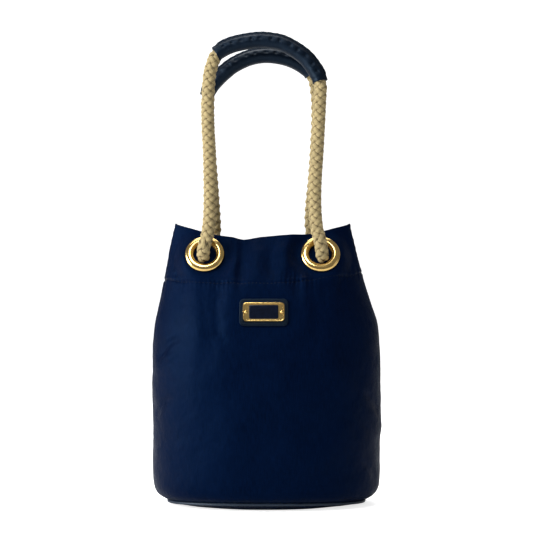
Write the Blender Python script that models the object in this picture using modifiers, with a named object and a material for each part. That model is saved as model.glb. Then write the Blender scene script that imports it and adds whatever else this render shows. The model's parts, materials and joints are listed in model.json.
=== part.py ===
"""Bucket bag: a soft nylon body on an oval base, gathered to a narrow mouth, with two rope handles.

World frame: +Z up, -Y is the front, +X is to the right seen from the front. The origin is on the
floor under the middle of the base. Every length is in metres and every angle in radians.
"""

import math

import bmesh
import bpy
from mathutils import Matrix, Vector

OBJECT_NAME = "bucket_bag"
GAP = 0.0003                    # clearance kept between pieces that touch

# Body levels: height at the side seam, half width, half depth, exponent of the end pinch.
# An exponent near 1 is an oval, and a larger one draws the two ends out to points.
LEVELS = (
    (0.0045, 0.0885, 0.0545, 0.95),
    (0.0070, 0.0938, 0.0572, 0.95),
    (0.0110, 0.0985, 0.0592, 0.95),
    (0.0180, 0.1013, 0.0606, 0.95),
    (0.0320, 0.1022, 0.0614, 0.95),
    (0.0600, 0.1022, 0.0620, 0.95),
    (0.1200, 0.1025, 0.0600, 0.98),
    (0.1600, 0.1002, 0.0530, 1.02),
    (0.1850, 0.0940, 0.0462, 1.08),
    (0.2050, 0.0892, 0.0392, 1.14),
    (0.2280, 0.0846, 0.0290, 1.20),
    (0.2507, 0.0793, 0.0180, 1.25),
)
WALL_BOTTOM = LEVELS[0][0]
EAR_HEIGHT = LEVELS[-1][0]
SEAM_LIFT = 0.0035              # how far the base seam rises in the middle of the front and back
SEAM_LIFT_FALL = 0.0100         # the rise dies away over this height
RIM_DIP = 0.0115                # how far the mouth's edge sinks between its two corners
LEAN_X = -0.0034                # sideways set of the gathered top
LEAN_START = 0.1550
LEAN_END = 0.2250
FABRIC = 0.0012                 # thickness of the outer nylon and of the hem
WALL_ROWS = (
    0.0, 0.0102, 0.0264, 0.0548, 0.1117, 0.20, 0.31, 0.43, 0.55, 0.65, 0.74, 0.81, 0.866, 0.915,
    0.962, 1.0,
)
COLUMNS = 24                    # facets over each half of the body
HEM_START = 0.81                # fraction of the wall's height where the hem begins
HEM_INSET = FABRIC + 2 * GAP
LINING_INSET = 0.0020
LINING_THICKNESS = 0.0008
LINING_TOP = 0.805

# Base
SAG_START = 0.70                # fraction of the outline where the flat of the base ends
SAG_POWER = 2.0
BASE_EDGE = 0.972
BASE_DROP = 0.0034              # the base's outer edge hangs this far under the wall's edge
BASE_THICKNESS = 0.0014
PIPING_RADIUS = 0.0013
PIPING_DROP = 0.0017            # the piping's middle lies this far under the wall's edge
PIPING_SET_BACK = 0.0004
INSERT_FRACTION = 0.68
INSERT_THICKNESS = 0.0022
LINING_FLOOR = 0.0042
LINING_CURL = (                 # fraction of the outline, rise of the floor, share of the seam's lift
    (0.780, 0.0, 0.0), (0.860, 0.0003, 0.03), (0.920, 0.0007, 0.37), (0.955, 0.0012, 0.80),
)

# Grommets, in pairs on the front and on the back
GROMMET_HEIGHT = 0.2234
GROMMET_TILT = math.radians(28.0)
GROMMET_SPREAD = {"front": 0.0512, "back": 0.0465}
GROMMET_RADIUS = 0.0176
GROMMET_HOLE = 0.00965
BARREL_WALL = 0.00075
DOME_HEIGHT = 0.0040
BARREL_DEPTH = 0.0052
WASHER_RADIUS = 0.0150
WASHER_THICKNESS = 0.0008
PATCH_FLAT = 0.0230             # radius over which the cloth lies flat under a grommet
PATCH_FADE = 0.0350
SEAM_FADE = 0.0100              # the flat fades out this close to the side seams
GROMMET_SEAT = 0.0009           # the soft cloth does not quite touch the grommet's face

# Badge
BADGE_X = -0.0024
BADGE_HEIGHT = 0.1728
BADGE_FLAT = 0.0260
BADGE_FADE = 0.0460
BACKING_SIZE = (0.0425, 0.0245, 0.0016)
PLATE_SIZE = (0.0362, 0.0170, 0.0016)
PLATE_RECESS = 0.0008
ENAMEL_SIZE = (0.0256, 0.0124, 0.0004)
ENAMEL_MARGIN = 0.0003
RIVET_OFFSET = 0.0156
RIVET_HEAD = 0.0012
RIVET_SHANK = 0.0006

# Ropes and grips. A handle's loop is flat, and its route is given in its own plane: sideways place
# and height above the hinge line, from the left grommet over the grip to the right grommet.
ROPE_RADIUS = 0.0058
ROPE_RADIUS_IN_GRIP = 0.0048
ROPE_NECK = 0.0042              # where the rope is squeezed as it enters the grip
HINGE_OUT = 0.0110              # how far the hinge line stands in front of the cloth
STUB_CLEARANCE = 0.0090         # distance from the hinge line to the fixed rope inside
LINK_HEIGHT = 0.2135            # height of the rope where it crosses inside the mouth
ROPE_MEETING_GAP = 0.0020       # between the two rope ends inside a grip
GRIP_RADIUS = 0.0065
GRIP_LEATHER = 0.0011
HANDLES = {
    "front": {
        "side": -1.0,
        "top_y": 0.0095,
        "route": (
            (-0.0523, 0.0113), (-0.0500, 0.0363), (-0.0507, 0.0847), (-0.0521, 0.1109),
            (-0.0520, 0.1390), (-0.0508, 0.1573), (-0.0486, 0.1650), (-0.0450, 0.1746),
            (-0.0353, 0.1812), (-0.0240, 0.1849), (-0.0080, 0.1874), (0.0039, 0.1868),
            (0.0159, 0.1838), (0.0318, 0.1739), (0.0411, 0.1630), (0.0476, 0.1501),
            (0.0475, 0.1335), (0.0453, 0.0919), (0.0428, 0.0506), (0.0441, 0.0202),
        ),
        "grip": (8, 16),
    },
    "back": {
        "side": 1.0,
        "top_y": 0.0095,
        "route": (
            (-0.0478, 0.0150), (-0.0482, 0.0350), (-0.0518, 0.0880), (-0.0532, 0.1145),
            (-0.0536, 0.1395), (-0.0504, 0.1480), (-0.0440, 0.1556), (-0.0367, 0.1624),
            (-0.0286, 0.1684), (-0.0150, 0.1745), (0.0000, 0.1768), (0.0165, 0.1746),
            (0.0300, 0.1690), (0.0405, 0.1605), (0.0450, 0.1490), (0.0466, 0.1200),
            (0.0440, 0.0700), (0.0406, 0.0270),
        ),
        "grip": (5, 14),
    },
}

SIDES = {"front": -1.0, "back": 1.0}
ENDS = {"left": -1.0, "right": 1.0}


def clear_scene():
    """Remove every object of the scene."""
    for item in list(bpy.data.objects):
        bpy.data.objects.remove(item, do_unlink=True)


def new_collection(name):
    """Make a collection and link it to the scene."""
    group = bpy.data.collections.new(name)
    bpy.context.scene.collection.children.link(group)
    return group


def make_material(name, color, roughness, metallic=0.0):
    """Make a Principled material."""
    material = bpy.data.materials.new(name)
    material.use_nodes = True
    shader = material.node_tree.nodes["Principled BSDF"]
    shader.inputs["Base Color"].default_value = (*color, 1.0)
    shader.inputs["Roughness"].default_value = roughness
    shader.inputs["Metallic"].default_value = metallic
    return material


def new_object(name, data, collection, material=None):
    """Link an object with the given data, and give it its material."""
    item = bpy.data.objects.new(name, data)
    collection.objects.link(item)
    if material:
        data.materials.append(material)
    return item


def mesh_from(name, build):
    """Make a mesh from what build adds to an empty bmesh."""
    work = bmesh.new()
    build(work)
    mesh = bpy.data.meshes.new(name)
    work.to_mesh(mesh)
    work.free()
    return mesh


def smooth(item, angle=math.radians(35.0)):
    """Shade a mesh object smooth, with edges sharper than the angle kept crisp."""
    item.data.shade_smooth()
    item.data.set_sharp_from_angle(angle=angle)


def add_solidify(item, thickness):
    """Thicken a surface inwards, away from its normals."""
    modifier = item.modifiers.new("thickness", "SOLIDIFY")
    modifier.thickness = thickness
    modifier.offset = -1.0
    modifier.use_even_offset = True


def add_boolean(item, cutter, operation):
    """Cut an object with a mesh cutter, or keep only what lies inside it."""
    modifier = item.modifiers.new(cutter.name, "BOOLEAN")
    modifier.operation = operation
    modifier.solver = "EXACT"
    modifier.object = cutter


def make_cutter(item):
    """Mark an object as a cutter."""
    item.hide_render = True
    item.display_type = "WIRE"
    return item


def smoothstep(low, high, value):
    """Rise smoothly from 0 at low to 1 at high."""
    part = min(1.0, max(0.0, (value - low) / (high - low)))
    return part * part * (3.0 - 2.0 * part)


def level_at(height):
    """Half width, half depth and pinch of the body at a height, on a smooth curve through LEVELS."""
    last = len(LEVELS) - 2
    span = min(last, max(0, sum(1 for level in LEVELS if level[0] <= height) - 1))
    low, high = LEVELS[span], LEVELS[span + 1]
    before = LEVELS[max(0, span - 1)]
    after = LEVELS[min(last + 1, span + 2)]
    step = high[0] - low[0]
    u = (height - low[0]) / step
    values = []
    for k in (1, 2, 3):
        slope_low = (high[k] - before[k]) / (high[0] - before[0]) * step
        slope_high = (after[k] - low[k]) / (after[0] - low[0]) * step
        values.append(
            (2 * u**3 - 3 * u**2 + 1) * low[k] + (u**3 - 2 * u**2 + u) * slope_low
            + (3 * u**2 - 2 * u**3) * high[k] + (u**3 - u**2) * slope_high
        )
    return values


def seam_lift(theta):
    """How far the base seam rises at an angle round the body."""
    return SEAM_LIFT * abs(math.sin(theta)) ** 1.5


def raw_wall(theta, t):
    """Point of the wall's outer face before it is flattened under the fittings.

    theta runs round the body from the right-hand seam (0) over the front, and t runs from the
    wall's lower edge (0) to the mouth (1).
    """
    side_height = WALL_BOTTOM + t * (EAR_HEIGHT - WALL_BOTTOM)
    half_width, half_depth, pinch = level_at(side_height)
    across, along = math.cos(theta), math.sin(theta)
    lean = LEAN_X * smoothstep(LEAN_START, LEAN_END, side_height)
    x = lean + half_width * math.copysign(abs(across) ** 0.92, across)
    y = -half_depth * math.copysign(abs(along) ** pinch, along)
    lift = seam_lift(theta) * math.exp((WALL_BOTTOM - side_height) / SEAM_LIFT_FALL)
    return Vector((x, y, side_height + lift - RIM_DIP * abs(along) ** 1.2 * t**3))


def wall_normal(theta, t):
    """Outward normal of the raw wall."""
    step = 0.0005
    turn = raw_wall(theta + step, t) - raw_wall(theta - step, t)
    rise = raw_wall(theta, min(1.0, t + step)) - raw_wall(theta, max(0.0, t - step))
    return rise.cross(turn).normalized()


def wall_spot(side, x, height):
    """Point of the raw wall on the front or the back at a sideways place and a height."""
    low, high = 0.0, 1.0
    for _ in range(40):
        t = (low + high) / 2
        side_height = WALL_BOTTOM + t * (EAR_HEIGHT - WALL_BOTTOM)
        lean = LEAN_X * smoothstep(LEAN_START, LEAN_END, side_height)
        reach = (x - lean) / level_at(side_height)[0]
        across = math.copysign(abs(reach) ** (1 / 0.92), reach)
        theta = math.acos(across) if side < 0 else -math.acos(across)
        if raw_wall(theta, t).z < height:
            low = t
        else:
            high = t
    return raw_wall(theta, t)


def facing(side, tilt):
    """Unit vector that faces forwards (side -1) or backwards (side 1), tilted up."""
    return Vector((0.0, side * math.cos(tilt), math.sin(tilt)))


def find_grommets():
    """Centre and facing of each of the four grommets, on the cloth's outer face."""
    spots = {}
    for face, side in SIDES.items():
        for end, sign in ENDS.items():
            x = LEAN_X + sign * GROMMET_SPREAD[face]
            centre = wall_spot(side, x, GROMMET_HEIGHT)
            spots[face, end] = (centre, facing(side, GROMMET_TILT))
    return spots


def find_badge():
    """Centre and facing of the badge, on the cloth's outer face."""
    centre = wall_spot(-1.0, BADGE_X, BADGE_HEIGHT)
    above = wall_spot(-1.0, BADGE_X, BADGE_HEIGHT + BACKING_SIZE[1] / 2)
    below = wall_spot(-1.0, BADGE_X, BADGE_HEIGHT - BACKING_SIZE[1] / 2)
    rise = above - below
    return centre, facing(-1.0, math.atan2(rise.y, rise.z))


GROMMETS = find_grommets()
BADGE = find_badge()
PATCHES = [(centre, normal, PATCH_FLAT, PATCH_FADE) for centre, normal in GROMMETS.values()]
PATCHES.append((*BADGE, BADGE_FLAT, BADGE_FADE))


def wall_point(theta, t, inset=0.0):
    """Point of the wall, moved in by inset and laid flat under the grommets and the badge."""
    point = raw_wall(theta, t) - wall_normal(theta, t) * inset
    for centre, normal, flat, fade in PATCHES:
        offset = point - centre
        share = 1.0 - smoothstep(flat, fade, offset.length)
        share *= smoothstep(0.0, SEAM_FADE, math.copysign(point.y, point.y * normal.y))
        point -= normal * (offset.dot(normal) + inset) * share
    return point


def loft(work, rows, closed, pole=None):
    """Skin rows of points, with outward normals for rows that rise and columns that turn left."""
    rings = [[work.verts.new(point) for point in row] for row in rows]
    count = len(rings[0])
    columns = range(count if closed else count - 1)
    for lower, upper in zip(rings, rings[1:]):
        for i in columns:
            j = (i + 1) % count
            work.faces.new((lower[i], upper[i], upper[j], lower[j]))
    if pole is not None:
        centre = work.verts.new(pole)
        for i in columns:
            work.faces.new((centre, rings[0][i], rings[0][(i + 1) % count]))


def wall_rows(face, fractions, inset):
    """Rows of wall points over the front half or the back half of the body."""
    start = 0.0 if face == "front" else math.pi
    return [
        [wall_point(start + math.pi * i / COLUMNS, t, inset) for i in range(COLUMNS + 1)]
        for t in fractions
    ]


def spread(low, high, count):
    """Evenly spaced values from low to high."""
    return [low + (high - low) * i / count for i in range(count + 1)]


def oval(fraction, height, segments=2 * COLUMNS, set_back=0.0):
    """Ring of points on the base's outline, scaled by a fraction.

    height is either one number or a function of the angle round the body.
    """
    half_width, half_depth, pinch = level_at(WALL_BOTTOM)
    points = []
    for i in range(segments):
        theta = 2 * math.pi * i / segments
        across, along = math.cos(theta), math.sin(theta)
        x = (half_width * fraction - set_back) * math.copysign(abs(across) ** 0.92, across)
        y = -(half_depth * fraction - set_back) * math.copysign(abs(along) ** pinch, along)
        points.append(Vector((x, y, height(theta) if callable(height) else height)))
    return points


def sag(fraction, theta):
    """Height of the base's underside at a fraction of its outline and an angle round the body."""
    edge = WALL_BOTTOM + seam_lift(theta) - BASE_DROP
    part = max(0.0, fraction - SAG_START) / (BASE_EDGE - SAG_START)
    return edge * part**SAG_POWER


def build_panels(parts, cutters, nylon):
    """Front and back nylon panels, sewn together at the sides, and the hem turned in at the mouth."""
    hem_rows = [t for t in WALL_ROWS if t >= HEM_START]
    for face, side in SIDES.items():
        half = bpy.data.meshes.new(f"{face}_half")
        box = bmesh.new()
        bmesh.ops.create_cube(box, size=1.0)
        bmesh.ops.scale(box, vec=(0.4, 0.2, 0.6), verts=box.verts)
        box.to_mesh(half)
        box.free()
        half_cutter = make_cutter(new_object(f"{face}_half", half, cutters))
        half_cutter.location = (0.0, side * (0.1 + GAP / 2), 0.0)
        holes = [make_hole_cutter(face, end, cutters) for end in ENDS]
        layers = (("panel", WALL_ROWS, 0.0), ("hem", hem_rows, HEM_INSET))
        for layer, rows, inset in layers:
            mesh = mesh_from(
                f"{face}_{layer}",
                lambda work: loft(work, wall_rows(face, rows, inset), closed=False),
            )
            item = new_object(f"{face}_{layer}", mesh, parts, nylon)
            smooth(item)
            add_solidify(item, FABRIC)
            add_boolean(item, half_cutter, "INTERSECT")
            for hole in holes:
                add_boolean(item, hole, "DIFFERENCE")


def make_hole_cutter(face, end, cutters):
    """Cutter for the hole that a grommet's barrel passes through."""
    mesh = mesh_from(
        f"{face}_{end}_hole",
        lambda work: bmesh.ops.create_cone(
            work, cap_ends=True, segments=24, depth=0.02,
            radius1=GROMMET_HOLE + BARREL_WALL + GAP, radius2=GROMMET_HOLE + BARREL_WALL + GAP,
        ),
    )
    item = make_cutter(new_object(f"{face}_{end}_hole", mesh, cutters))
    place_on(item, *GROMMETS[face, end])
    return item


def place_on(item, centre, normal):
    """Put an object's origin at a point of the cloth, with its Z axis along the facing."""
    up = Vector((0.0, 0.0, 1.0))
    side = up.cross(normal).normalized()
    turn = Matrix((side, normal.cross(side), normal)).transposed()
    item.rotation_euler = turn.to_euler()
    item.location = centre


def build_lining(parts, material):
    """Lining: one cloth bucket hung from the hem, with its floor on the base insert."""
    segments = 2 * COLUMNS
    rows = [
        oval(fraction, lambda theta: LINING_FLOOR + rise + share * seam_lift(theta))
        for fraction, rise, share in LINING_CURL
    ]
    for t in [t for t in WALL_ROWS if t < HEM_START] + [LINING_TOP]:
        rows.append([
            wall_point(2 * math.pi * i / segments, t, LINING_INSET) for i in range(segments)
        ])
    pole = Vector((0.0, 0.0, LINING_FLOOR))
    mesh = mesh_from("lining", lambda work: loft(work, rows, closed=True, pole=pole))
    item = new_object("lining", mesh, parts, material)
    smooth(item)
    add_solidify(item, LINING_THICKNESS)


def build_base(parts, nylon, insert_material, piping_material):
    """Sagging base panel, the flat insert on it and the piping in its seam."""
    fractions = (SAG_START, 0.80, 0.87, 0.93, BASE_EDGE)
    rows = [oval(fraction, lambda theta: sag(fraction, theta)) for fraction in fractions]
    mesh = mesh_from(
        "base_panel", lambda work: loft(work, rows, closed=True, pole=Vector((0.0, 0.0, 0.0)))
    )
    item = new_object("base_panel", mesh, parts, nylon)
    smooth(item)
    add_solidify(item, BASE_THICKNESS)

    outline = oval(INSERT_FRACTION, 0.0, segments=32)
    insert = flat_plate("base_insert", outline, INSERT_THICKNESS, parts, insert_material)
    insert.location.z = BASE_THICKNESS + GAP + INSERT_THICKNESS / 2

    loop = oval(
        1.0, lambda theta: WALL_BOTTOM + seam_lift(theta) - PIPING_DROP, set_back=PIPING_SET_BACK
    )
    curve = bpy.data.curves.new("base_piping", "CURVE")
    curve.dimensions = "3D"
    curve.bevel_depth = PIPING_RADIUS
    curve.bevel_resolution = 1
    fill_spline(curve, loop, [1.0] * len(loop), closed=True)
    new_object("base_piping", curve, parts, piping_material)


def flat_plate(name, outline, thickness, collection, material):
    """Plate with a flat outline, centred on its own XY plane."""
    curve = bpy.data.curves.new(name, "CURVE")
    curve.dimensions = "2D"
    curve.fill_mode = "BOTH"
    curve.extrude = thickness / 2
    fill_spline(curve, outline, [1.0] * len(outline), closed=True)
    return new_object(name, curve, collection, material)


def fill_spline(curve, points, radii, closed=False):
    """Add a spline of straight spans through the points."""
    spline = curve.splines.new("POLY")
    spline.points.add(len(points) - 1)
    for target, point, radius in zip(spline.points, points, radii):
        target.co = (*point, 1.0)
        target.radius = radius
    spline.use_cyclic_u = closed


def turned(name, profile, steps, collection, material):
    """Solid of revolution about Z, from a closed profile of radius and height."""
    def outline(work):
        points = [work.verts.new((radius, 0.0, height)) for radius, height in profile]
        for start, end in zip(points, points[1:] + points[:1]):
            work.edges.new((start, end))

    item = new_object(name, mesh_from(name, outline), collection, material)
    modifier = item.modifiers.new("turn", "SCREW")
    modifier.steps = steps
    modifier.render_steps = steps
    modifier.use_merge_vertices = True
    modifier.merge_threshold = 0.00001
    modifier.use_smooth_shade = True
    return item


def dome(inner, outer, base, peak, count):
    """Points of a half-round moulding from its inner foot over the crest to its outer foot."""
    middle, half = (inner + outer) / 2, (outer - inner) / 2
    points = []
    for i in range(count + 1):
        angle = math.pi * (1.0 - i / count)
        points.append((middle + half * math.cos(angle), base + peak * math.sin(angle)))
    return points


def build_grommets(parts, gold):
    """Four eyelets: a domed face with a barrel on the outside, and a flat washer inside."""
    barrel = GROMMET_HOLE + BARREL_WALL
    foot = GROMMET_SEAT + 0.0006
    profile = [(GROMMET_HOLE, -BARREL_DEPTH)]
    profile += dome(GROMMET_HOLE, GROMMET_RADIUS, foot, DOME_HEIGHT - foot, 7)
    profile += [
        (GROMMET_RADIUS - 0.0002, GROMMET_SEAT), (barrel, GROMMET_SEAT), (barrel, -BARREL_DEPTH),
    ]
    washer_top = -(HEM_INSET + FABRIC + GROMMET_SEAT)
    washer_bottom = washer_top - WASHER_THICKNESS
    ring = [
        (barrel + GAP, washer_bottom), (barrel + GAP, washer_top),
        (WASHER_RADIUS, washer_top), (WASHER_RADIUS, washer_bottom),
    ]
    for (face, end), spot in GROMMETS.items():
        place_on(turned(f"{face}_grommet_{end}", profile, 30, parts, gold), *spot)
        place_on(turned(f"{face}_washer_{end}", ring, 24, parts, gold), *spot)


def rounded_rectangle(width, height, corner, steps=4):
    """Outline of a rectangle with round corners, in its XY plane."""
    points = []
    corners = ((1, 1, 0.0), (-1, 1, 0.5), (-1, -1, 1.0), (1, -1, 1.5))
    for sign_x, sign_y, start in corners:
        for i in range(steps + 1):
            angle = math.pi * (start + 0.5 * i / steps)
            points.append(Vector((
                sign_x * (width / 2 - corner) + corner * math.cos(angle),
                sign_y * (height / 2 - corner) + corner * math.sin(angle),
                0.0,
            )))
    return points


def as_mesh(item, collection):
    """Turn a curve object into a mesh object with welded caps."""
    graph = bpy.context.evaluated_depsgraph_get()
    mesh = bpy.data.meshes.new_from_object(item.evaluated_get(graph))
    work = bmesh.new()
    work.from_mesh(mesh)
    bmesh.ops.remove_doubles(work, verts=work.verts, dist=0.00001)
    work.to_mesh(mesh)
    work.free()
    name = item.name
    place = item.matrix_world.copy()
    bpy.data.objects.remove(item, do_unlink=True)
    solid = new_object(name, mesh, collection)
    solid.matrix_world = place
    return solid


def badge_plate(name, size, corner, lift, parts, material):
    """One flat layer of the badge, lifted off the cloth."""
    outline = rounded_rectangle(size[0], size[1], corner)
    item = flat_plate(name, outline, size[2], parts, material)
    centre, normal = BADGE
    place_on(item, centre + normal * (lift + size[2] / 2), normal)
    bpy.context.view_layer.update()
    return as_mesh(item, parts)


def build_badge(parts, cutters, leather, gold, enamel):
    """Plain badge: leather backing, metal plate with an enamel field, and two rivets."""
    centre, normal = BADGE
    plate_lift = 2 * GAP + BACKING_SIZE[2]
    plate_top = plate_lift + PLATE_SIZE[2]
    backing = badge_plate("badge_backing", BACKING_SIZE, 0.0045, GAP, parts, leather)
    plate = badge_plate("badge_plate", PLATE_SIZE, 0.0030, plate_lift, parts, gold)

    recess_size = (
        ENAMEL_SIZE[0] + 2 * ENAMEL_MARGIN, ENAMEL_SIZE[1] + 2 * ENAMEL_MARGIN, 2 * PLATE_RECESS
    )
    recess = badge_plate(
        "badge_recess", recess_size, 0.0018, plate_top - PLATE_RECESS, cutters, None
    )
    add_boolean(plate, make_cutter(recess), "DIFFERENCE")
    enamel_lift = plate_top - PLATE_RECESS + GAP
    badge_plate("badge_enamel", ENAMEL_SIZE, 0.0015, enamel_lift, parts, enamel)

    head_base = plate_top + GAP
    profile = [
        (0.0, head_base + 0.0008), (0.0007, head_base + 0.0006), (RIVET_HEAD, head_base),
        (RIVET_SHANK, head_base), (RIVET_SHANK, GAP), (0.0, GAP),
    ]
    sideways = Vector((1.0, 0.0, 0.0))
    for end, sign in ENDS.items():
        spot = centre + sideways * sign * RIVET_OFFSET
        place_on(turned_rivet(f"badge_rivet_{end}", profile, parts, gold), spot, normal)
        hole_mesh = mesh_from(
            f"badge_{end}_hole",
            lambda work: bmesh.ops.create_cone(
                work, cap_ends=True, segments=12, depth=0.02,
                radius1=RIVET_SHANK + GAP, radius2=RIVET_SHANK + GAP,
            ),
        )
        hole = make_cutter(new_object(f"badge_{end}_hole", hole_mesh, cutters))
        place_on(hole, spot, normal)
        add_boolean(backing, hole, "DIFFERENCE")
        add_boolean(plate, hole, "DIFFERENCE")


def turned_rivet(name, profile, collection, material):
    """Rivet turned about Z from an open profile that starts and ends on the axis."""
    def outline(work):
        points = [work.verts.new((radius, 0.0, height)) for radius, height in profile]
        for start, end in zip(points, points[1:]):
            work.edges.new((start, end))

    item = new_object(name, mesh_from(name, outline), collection, material)
    modifier = item.modifiers.new("turn", "SCREW")
    modifier.steps = 12
    modifier.render_steps = 12
    modifier.use_merge_vertices = True
    modifier.merge_threshold = 0.00001
    return item


def smooth_route(points, steps=10):
    """Dense points on a smooth curve through the route's own points."""
    padded = [points[0] * 2 - points[1], *points, points[-1] * 2 - points[-2]]
    dense = []
    for before, start, end, after in zip(padded, padded[1:], padded[2:], padded[3:]):
        for i in range(steps):
            u = i / steps
            dense.append(0.5 * (
                2 * start + (end - before) * u
                + (2 * before - 5 * start + 4 * end - after) * u**2
                + (3 * start - before - 3 * end + after) * u**3
            ))
    dense.append(points[-1].copy())
    return dense


def evenly(points, count):
    """The given number of points, evenly spaced along a dense line."""
    lengths = [0.0]
    for start, end in zip(points, points[1:]):
        lengths.append(lengths[-1] + (end - start).length)
    result = []
    at = 0
    for i in range(count):
        target = lengths[-1] * i / (count - 1)
        while at < len(points) - 2 and lengths[at + 1] < target:
            at += 1
        share = (target - lengths[at]) / (lengths[at + 1] - lengths[at])
        result.append(points[at].lerp(points[at + 1], share))
    return result


def tube(name, points, radii, collection, material, caps=True):
    """Tube along points, each with its own radius."""
    curve = bpy.data.curves.new(name, "CURVE")
    curve.dimensions = "3D"
    curve.bevel_depth = ROPE_RADIUS
    curve.bevel_resolution = 3
    curve.use_fill_caps = caps
    fill_spline(curve, points, [radius / ROPE_RADIUS for radius in radii])
    return new_object(name, curve, collection, material)


def ball_end(first, second):
    """Points and radii that round off a rope's end about its first point."""
    away = (first - second).normalized()
    points, radii = [], []
    for angle in (80.0, 55.0, 28.0):
        turn = math.radians(angle)
        points.append(first + away * ROPE_RADIUS * math.sin(turn))
        radii.append(ROPE_RADIUS * math.cos(turn))
    return points, radii


def hinge_line(face):
    """A point on the line that a handle swings about, at the middle of the bag."""
    centre, normal = GROMMETS[face, "left"]
    spot = centre + normal * HINGE_OUT
    return Vector((0.0, spot.y, spot.z))


def build_handle(face, handle, parts, rope, leather):
    """A handle: two rope ends that meet inside a sewn leather grip, all in one flat loop."""
    origin = hinge_line(face)
    route = [Vector((x, 0.0, height)) for x, height in handle["route"]]
    left_x = LEAN_X - GROMMET_SPREAD[face]
    right_x = LEAN_X + GROMMET_SPREAD[face]
    route = [Vector((left_x, 0.0, 0.0)), *route, Vector((right_x, 0.0, 0.0))]
    steps = 10
    dense = smooth_route(route, steps)
    start, end = (index * steps for index in handle["grip"])

    top = max(point.z for point in route)
    lean = math.asin((abs(origin.y) - handle["top_y"]) / top)
    pivot = bpy.data.objects.new(f"{face}_handle_pivot", None)
    parts.objects.link(pivot)
    pivot.location = origin
    pivot.rotation_euler = (handle["side"] * lean, 0.0, 0.0)

    inside = evenly(dense[start:end + 1], 17)
    sleeve = tube(f"{face}_grip", inside, [GRIP_RADIUS] * len(inside), parts, leather, caps=False)
    add_solidify(sleeve, GRIP_LEATHER)
    sleeve.parent = pivot

    middle = len(inside) // 2
    pull = (inside[middle + 1] - inside[middle - 1]).normalized() * (ROPE_MEETING_GAP / 2)
    halves = {
        "left": (dense[:start + 1], inside[1:middle] + [inside[middle] - pull]),
        "right": (dense[end:][::-1], inside[middle + 1:-1][::-1] + [inside[middle] + pull]),
    }
    for name, (free, held) in halves.items():
        free = evenly(free, 13)
        before_grip = free[-1].lerp(free[-2], 0.25)
        body = free[:-1] + [before_grip, free[-1]]
        radii = [ROPE_RADIUS] * (len(body) - 2) + [ROPE_NECK, ROPE_RADIUS_IN_GRIP]
        ball, ball_radii = ball_end(body[0], body[1])
        item = tube(
            f"{face}_rope_{name}", ball + body + held,
            ball_radii + radii + [ROPE_RADIUS_IN_GRIP] * len(held), parts, rope,
        )
        item.parent = pivot


def build_rope_links(parts, rope):
    """The stretch of each rope that passes in through one grommet and out through the other."""
    for end in ENDS:
        front, front_normal = GROMMETS["front", end]
        back, back_normal = GROMMETS["back", end]
        reach = HINGE_OUT - STUB_CLEARANCE
        middle = (front + back) / 2
        middle.z = LINK_HEIGHT
        route = [
            front + front_normal * reach, front - front_normal * 0.0075,
            middle, back - back_normal * 0.0075, back + back_normal * reach,
        ]
        points = evenly(smooth_route(route), 11)
        tube(f"rope_link_{end}", points, [ROPE_RADIUS] * len(points), parts, rope)


def main():
    """Build the whole bag."""
    clear_scene()
    parts = new_collection(OBJECT_NAME)
    cutters = new_collection("cutters")
    nylon = make_material("navy_nylon", (0.008, 0.022, 0.070), 0.38)
    lining = make_material("dark_lining", (0.006, 0.010, 0.024), 0.70)
    leather = make_material("navy_leather", (0.010, 0.022, 0.048), 0.42)
    gold = make_material("polished_gold", (0.83, 0.60, 0.22), 0.14, 1.0)
    enamel = make_material("dark_enamel", (0.004, 0.008, 0.022), 0.12)
    rope = make_material("beige_rope", (0.52, 0.42, 0.22), 0.85)
    board = make_material("grey_board", (0.30, 0.29, 0.27), 0.80)

    build_panels(parts, cutters, nylon)
    build_lining(parts, lining)
    build_base(parts, nylon, board, nylon)
    build_grommets(parts, gold)
    build_badge(parts, cutters, leather, gold, enamel)
    build_rope_links(parts, rope)
    for face, handle in HANDLES.items():
        build_handle(face, handle, parts, rope, leather)


main()
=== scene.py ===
"""Bucket bag, dressed: satin nylon body, braided rope handles, sewn leather grips, gold fittings.

Everything is in metres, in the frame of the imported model: +Z up, -Y the front, +X to the right
seen from the front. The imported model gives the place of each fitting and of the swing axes.
"""

import json
import logging
import math
from dataclasses import dataclass, field
from enum import Enum

import bmesh
import bpy
import numpy as np
from mathutils import Matrix, Vector, noise


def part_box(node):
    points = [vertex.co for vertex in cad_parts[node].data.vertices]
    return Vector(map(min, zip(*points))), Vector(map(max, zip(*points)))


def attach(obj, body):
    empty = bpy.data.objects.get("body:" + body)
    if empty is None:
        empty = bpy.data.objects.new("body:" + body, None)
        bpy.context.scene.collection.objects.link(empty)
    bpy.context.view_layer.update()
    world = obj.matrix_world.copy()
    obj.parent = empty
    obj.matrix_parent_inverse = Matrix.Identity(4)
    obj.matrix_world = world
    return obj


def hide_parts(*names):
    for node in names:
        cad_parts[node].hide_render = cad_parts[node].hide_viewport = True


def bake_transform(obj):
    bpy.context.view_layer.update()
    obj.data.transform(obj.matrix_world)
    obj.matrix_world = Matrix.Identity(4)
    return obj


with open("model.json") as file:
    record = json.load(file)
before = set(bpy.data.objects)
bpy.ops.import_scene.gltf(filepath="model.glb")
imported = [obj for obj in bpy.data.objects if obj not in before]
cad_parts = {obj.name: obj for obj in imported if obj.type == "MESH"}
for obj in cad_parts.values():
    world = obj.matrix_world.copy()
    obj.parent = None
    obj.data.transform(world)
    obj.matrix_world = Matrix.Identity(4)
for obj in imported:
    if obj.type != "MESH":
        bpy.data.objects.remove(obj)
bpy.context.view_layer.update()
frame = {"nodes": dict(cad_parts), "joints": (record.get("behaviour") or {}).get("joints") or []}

LOG = logging.getLogger("bucket_bag")
TAU = 2.0 * math.pi
MM = 0.001


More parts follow.
